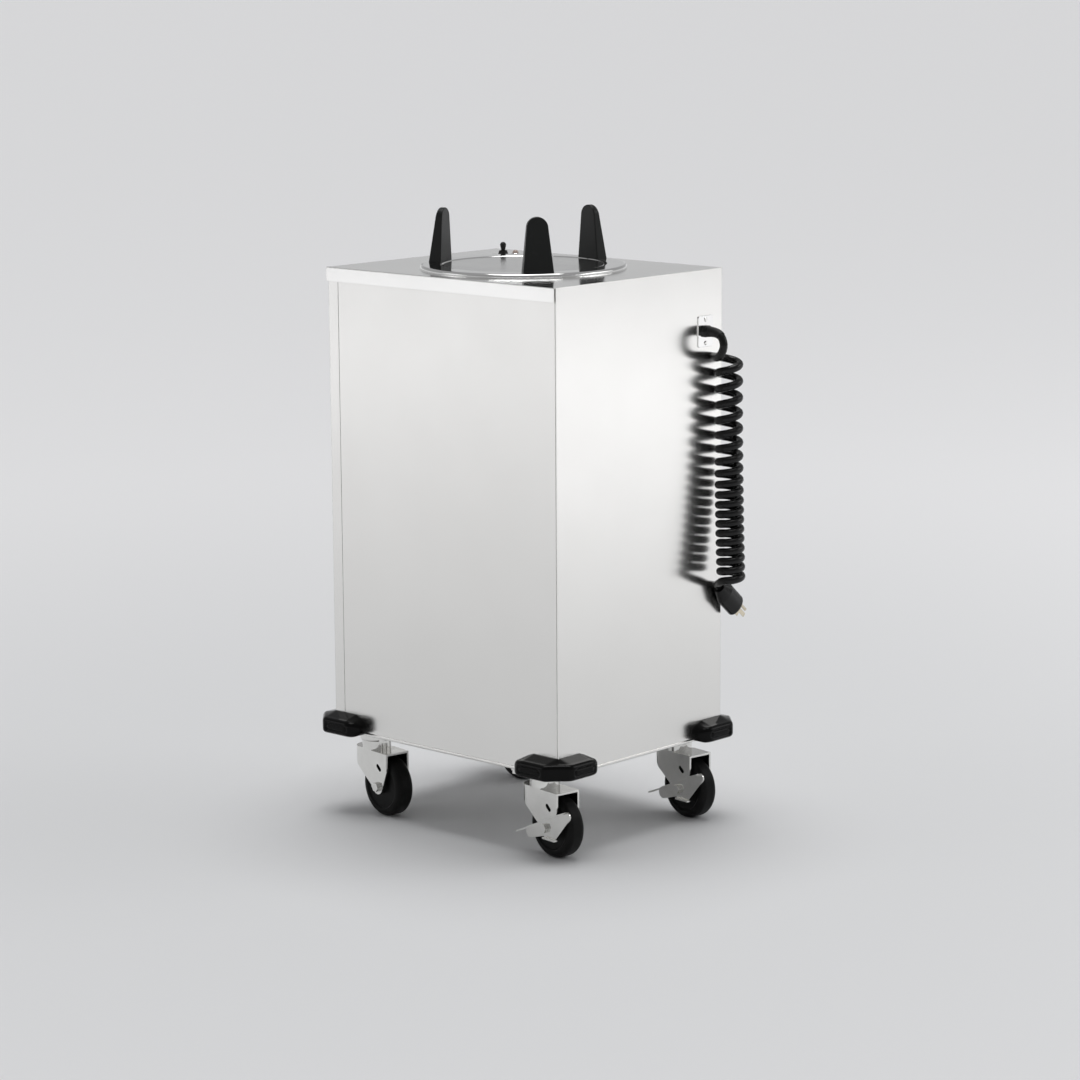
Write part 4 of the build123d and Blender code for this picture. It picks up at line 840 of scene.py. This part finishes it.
@dataclass
class Bumper:
    """A corner bumper: sloping top, round rims and ends, cut corner and a pressed pad on each arm. Millimetres."""

    materials: Materials
    corner: Corner
    walls: Walls = Walls()
    outer: Pair = (268.0, 219.0)
    arm: float = 102.0
    height: float = 31.0
    band: float = 23.0
    cut: float = 32.0
    cut_lead: float = 3.6
    facet: Pair = (0.18, 0.82)
    bends: Pair = (0.25, 0.75)
    end_radius: float = 24.0
    tip_radius: float = 14.0
    top_rim: float = 7.5
    low_rim: float = 6.0
    rim_limit: float = 0.45
    underside: float = 0.6
    pad: Pair = (46.0, 12.0)
    pad_depth: float = 2.4
    pad_slope: float = 1.5
    groove_inset: float = 0.9
    groove_reach: float = 1.9
    groove_share: float = 0.75
    spacing: float = 1.4
    tip_steps: int = 18
    corner_steps: int = 26
    top_steps: int = 7
    rim_steps: int = 8
    face_steps: int = 16
    foot_steps: int = 7

    NO_PAD = 99.0

    def _arm(self, proud: float, reach: float) -> list[Place]:
        """Steps along one arm from its tip to where the cut corner starts.

        Args:
            proud: How far the arm stands off its wall.
            reach: How far the arm's tip lies behind the walls' corner.

        Returns:
            For each step, the place along the wall, the depth and the distance from the tip.
        """
        steps = []
        for i in range(self.tip_steps):
            from_tip = self.end_radius * (1 - cos(pi / 2 * i / self.tip_steps))
            left = self.end_radius - from_tip
            steps.append((from_tip - reach, proud - self.end_radius + (self.end_radius**2 - left**2) ** 0.5, from_tip))
        stop = reach + proud - self.cut - self.cut_lead
        count = int((stop - self.end_radius) / self.spacing)
        for i in range(count + 1):
            from_tip = self.end_radius + (stop - self.end_radius) * i / count
            steps.append((from_tip - reach, proud, from_tip))
        return steps

    def _steps(self) -> list[Step]:
        """Lists the steps round the bumper from one tip to the other."""
        wall = self.walls.at(self.corner)
        proud_x, proud_y = self.outer[0] - wall[0], self.outer[1] - wall[1]
        reach_x, reach_y = self.arm - proud_x, self.arm - proud_y
        pad_at = (self.arm + self.cut - self.end_radius / 2) / 2
        first = [Step((u, 0.0), (u, deep), tip, u - (proud_x - pad_at)) for u, deep, tip in self._arm(proud_y, reach_x)]
        second = [
            Step((0.0, v), (deep, v), tip, v - (proud_y - pad_at)) for v, deep, tip in self._arm(proud_x, reach_y)
        ]
        return [*first, *self._cut_corner(first[-1], second[-1], proud_x, proud_y), *reversed(second)]

    def _cut_corner(self, start: Step, end: Step, proud_x: float, proud_y: float) -> list[Step]:
        """Steps round the cut corner, with a soft bend at each side of its flat.

        Args:
            start: Last step of the arm before the corner.
            end: Step of the other arm next to the corner.
            proud_x: How far the bumper stands off the wall across X.
            proud_y: How far the bumper stands off the wall across Y.

        Returns:
            The steps between the two arms.
        """
        corner_a, corner_b = (proud_x - self.cut, proud_y), (proud_x, proud_y - self.cut)
        (low, high), (near, far) = self.facet, self.bends
        steps = []
        for i in range(1, self.corner_steps):
            share = i / self.corner_steps
            if share < near:
                outer = bend(start.outer, corner_a, between(corner_a, corner_b, low), share / near)
            elif share > far:
                outer = bend(between(corner_a, corner_b, high), corner_b, end.outer, (share - far) / (1 - far))
            else:
                outer = between(corner_a, corner_b, low + (high - low) * (share - near) / (far - near))
            wall = start.wall[0] * (1 - share) ** 3, end.wall[1] * share**3
            steps.append(Step(wall, outer, self.arm, self.NO_PAD))
        return steps

    def _profile(self, step: Step) -> list[Pair]:
        """Lays out the section at a step.

        Args:
            step: The step.

        Returns:
            Distance in from the outer face and height, from the wall's top round to its foot.
        """
        depth = step.depth
        crest = self.band + (self.height - self.band) * min(step.tip / self.end_radius, 1.0)
        top_rim, low_rim = min(self.top_rim, depth * self.rim_limit), min(self.low_rim, depth * self.rim_limit)
        rim_z = crest - (crest - self.band) * (depth - top_rim) / depth
        points = []
        for i in range(self.top_steps):
            inset = depth + (top_rim - depth) * i / self.top_steps
            points.append((inset, crest - (crest - self.band) * (depth - inset) / depth))
        for i in range(self.rim_steps):
            angle = pi / 2 * i / self.rim_steps
            points.append((top_rim * (1 - sin(angle)), rim_z - top_rim * (1 - cos(angle))))
        for i in range(self.face_steps + 1):
            z = (rim_z - top_rim) + (low_rim - rim_z + top_rim) * i / self.face_steps
            points.append((self._pressed(step.pad, z), z))
        for i in range(1, self.foot_steps + 1):
            angle = pi / 2 * i / self.foot_steps
            points.append((low_rim * (1 - cos(angle)), low_rim * (1 - sin(angle))))
        points.append((depth * self.underside + low_rim * (1 - self.underside), 0.0))
        points.append((depth, 0.0))
        if step.tip < self.tip_radius:
            swell = max(1 - ((self.tip_radius - step.tip) / self.tip_radius) ** 2, 0.0) ** 0.5
            middle = self.band / 2
            points = [(inset, middle + (z - middle) * swell) for inset, z in points]
        return points

    def _pressed(self, along: float, z: float) -> float:
        """Gives the depth of the pad's outline and face at a point of the band.

        Args:
            along: Distance along the arm from the pad's middle.
            z: Height above the bumper's foot.

        Returns:
            The depth there.
        """
        half_height = self.pad[1] / 2
        past = max(abs(along) - (self.pad[0] / 2 - half_height), 0.0)
        edge = (past**2 + (z - self.band / 2) ** 2) ** 0.5 - half_height
        inside = min(max(-edge / self.pad_slope, 0.0), 1.0)
        groove = max(1 - ((edge + self.groove_inset) / self.groove_reach) ** 2, 0.0)
        return self.pad_depth * ((1 - self.groove_share) * inside + self.groove_share * groove)

    def build(self) -> None:
        """Makes the bumper and puts it in place of its plain solid."""
        wall, (side_x, side_y) = self.walls.at(self.corner), self.corner.value
        points: list[Place] = []
        steps = self._steps()
        for step in steps:
            for inset, z in self._profile(step):
                u, v = between(step.outer, step.wall, inset / step.depth)
                x, y = side_x * (wall[0] + u), side_y * (wall[1] + v)
                points.append((x * MM, y * MM, (self.walls.foot + z) * MM))
        corner = self.corner.name.lower()
        faces = ring_faces(len(steps), len(points) // len(steps))
        piece = mesh_piece(f"moulded_bumper_{corner}", points, faces, self.materials.of(BUMPER_RUBBER))
        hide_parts(f"bumper_{corner}")
        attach(piece, "cabinet")
        LOG.info("%s", piece.name)


@dataclass
class BottomHem:
    """The rolled hem round the cabinet's bottom edge. Millimetres."""

    materials: Materials
    walls: Walls = Walls()
    profile: tuple[Pair, ...] = (
        (-0.3, 0.0),
        (0.55, 0.25),
        (1.05, 0.9),
        (1.3, 1.9),
        (1.3, 2.9),
        (1.1, 3.8),
        (0.75, 4.5),
        (0.3, 4.9),
        (-0.3, 5.0),
    )

    def build(self) -> None:
        """Rolls the hem round the four sides."""
        corners_round = (Corner.FRONT_LEFT, Corner.FRONT_RIGHT, Corner.BACK_RIGHT, Corner.BACK_LEFT)
        points: list[Place] = []
        for corner in corners_round:
            wall, (side_x, side_y) = self.walls.at(corner), corner.value
            for proud, rise in self.profile:
                x, y = side_x * (wall[0] + proud), side_y * (wall[1] + proud)
                points.append((x * MM, y * MM, (self.walls.foot + rise) * MM))
        faces = ring_faces(len(corners_round), len(self.profile), closed=True)
        piece = mesh_piece("bottom_hem", points, faces, self.materials.of(PANEL))
        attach(piece, "cabinet")
        LOG.info("bottom_hem")


@dataclass(frozen=True)
class Pool:
    """A soft square light that faces down and makes a brighter pool on the floor. Metres and watts."""

    name: str
    place: Place
    size: float
    power: float

    def build(self) -> None:
        """Hangs the light out of the camera's sight."""
        data = bpy.data.lights.new(self.name, "AREA")
        data.size = self.size
        data.energy = self.power
        lamp = linked(self.name, data)
        lamp.location = self.place
        lamp.visible_camera = False
        LOG.info("%s", self.name)


@dataclass
class Studio:
    """Floor, soft light and camera. Metres and degrees."""

    materials: Materials
    eye: Place = (3.51087, -3.74780, 1.38865)
    azimuth: float = 42.876
    pitch: float = 10.5
    roll: float = -0.343
    lens: float = 111.49
    sensor: float = 36.0
    sight: float = 400.0
    floor_size: float = 160.0
    overhead_strength: float = 1.5
    overhead_angle: float = 38.0
    overhead_way: Place = (0.07, -0.10, -1.0)
    sky: Colour = (0.985, 0.99, 1.0)
    horizon_level: float = 0.88
    zenith_level: float = 0.34
    falloff: float = 10.0
    dim_side: Place = (0.68, -0.73, 0.0)
    dim_band: Pair = (0.15, 0.9)
    dimming: float = 0.25
    pools: tuple[Pool, ...] = (
        Pool("left_pool", (-4.9, -5.3, 3.0), 4.0, 62.0),
        Pool("right_pool", (3.9, 4.2, 3.0), 4.4, 95.0),
    )

    def floor(self) -> None:
        """Lays the pale floor."""
        bpy.ops.mesh.primitive_plane_add(size=self.floor_size, location=(0, 0, 0))
        plane = bpy.context.object
        plane.name = "studio_floor"
        plane.data.materials.append(self.materials.of(FLOOR))
        LOG.info("studio_floor")

    def overhead(self) -> None:
        """Hangs the broad overhead light."""
        data = bpy.data.lights.new("overhead", "SUN")
        data.energy = self.overhead_strength
        data.angle = radians(self.overhead_angle)
        lamp = linked("overhead", data)
        lamp.rotation_euler = Vector(self.overhead_way).to_track_quat("-Z", "Y").to_euler()
        LOG.info("overhead")

    def world(self) -> None:
        """Sets the room: bright round the horizon, dimmer overhead and a little dimmer behind the camera."""
        world = bpy.data.worlds.new("studio_world")
        world.use_nodes = True
        graph = Graph(world.node_tree)
        way = graph.node("ShaderNodeTexCoord", {}, {})["Generated"]
        height = Value(graph, graph.node("ShaderNodeSeparateXYZ", {}, {0: way})[2])
        side = graph.node("ShaderNodeVectorMath", {"operation": "DOT_PRODUCT"}, {0: way, 1: self.dim_side})["Value"]
        shade = Value(graph, side).band(*self.dim_band)
        glow = (1.0 - height.clamped()) ** self.falloff
        level = self.zenith_level + (self.horizon_level - self.zenith_level) * glow
        level = level * (1.0 - shade * self.dimming)
        shader = graph.node("ShaderNodeBackground", {}, {"Color": (*self.sky, 1.0), "Strength": level})[0]
        graph.node("ShaderNodeOutputWorld", {}, {"Surface": shader})
        bpy.context.scene.world = world

    def camera(self) -> None:
        """Places the camera at the photograph's view."""
        az, el = radians(self.azimuth), radians(self.pitch)
        forward = Vector((-sin(az) * cos(el), cos(az) * cos(el), -sin(el)))
        right = Vector((cos(az), sin(az), 0.0))
        up = right.cross(forward)
        turn = Matrix((right, up, -forward)).transposed().to_4x4()
        data = bpy.data.cameras.new("photo_camera")
        data.sensor_width = self.sensor
        data.lens = self.lens
        data.clip_end = self.sight
        camera = linked("photo_camera", data)
        camera.matrix_world = Matrix.Translation(self.eye) @ turn @ Matrix.Rotation(radians(self.roll), 4, "Z")
        bpy.context.scene.camera = camera

    def build(self) -> None:
        """Builds the whole studio."""
        self.floor()
        self.world()
        self.overhead()
        for pool in self.pools:
            pool.build()
        self.camera()
        bpy.context.scene.view_settings.view_transform = "Standard"


def main() -> None:
    """Builds the scene in order."""
    logging.basicConfig(level=logging.INFO, format="%(message)s")
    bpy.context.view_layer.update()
    materials = Materials()
    Studio(materials).build()
    CurlyCord(materials).build()
    for corner in Corner:
        Bumper(materials, corner).build()
    BottomHem(materials).build()
    CadFinishes(materials).build()


if __name__ == "__main__":
    main()
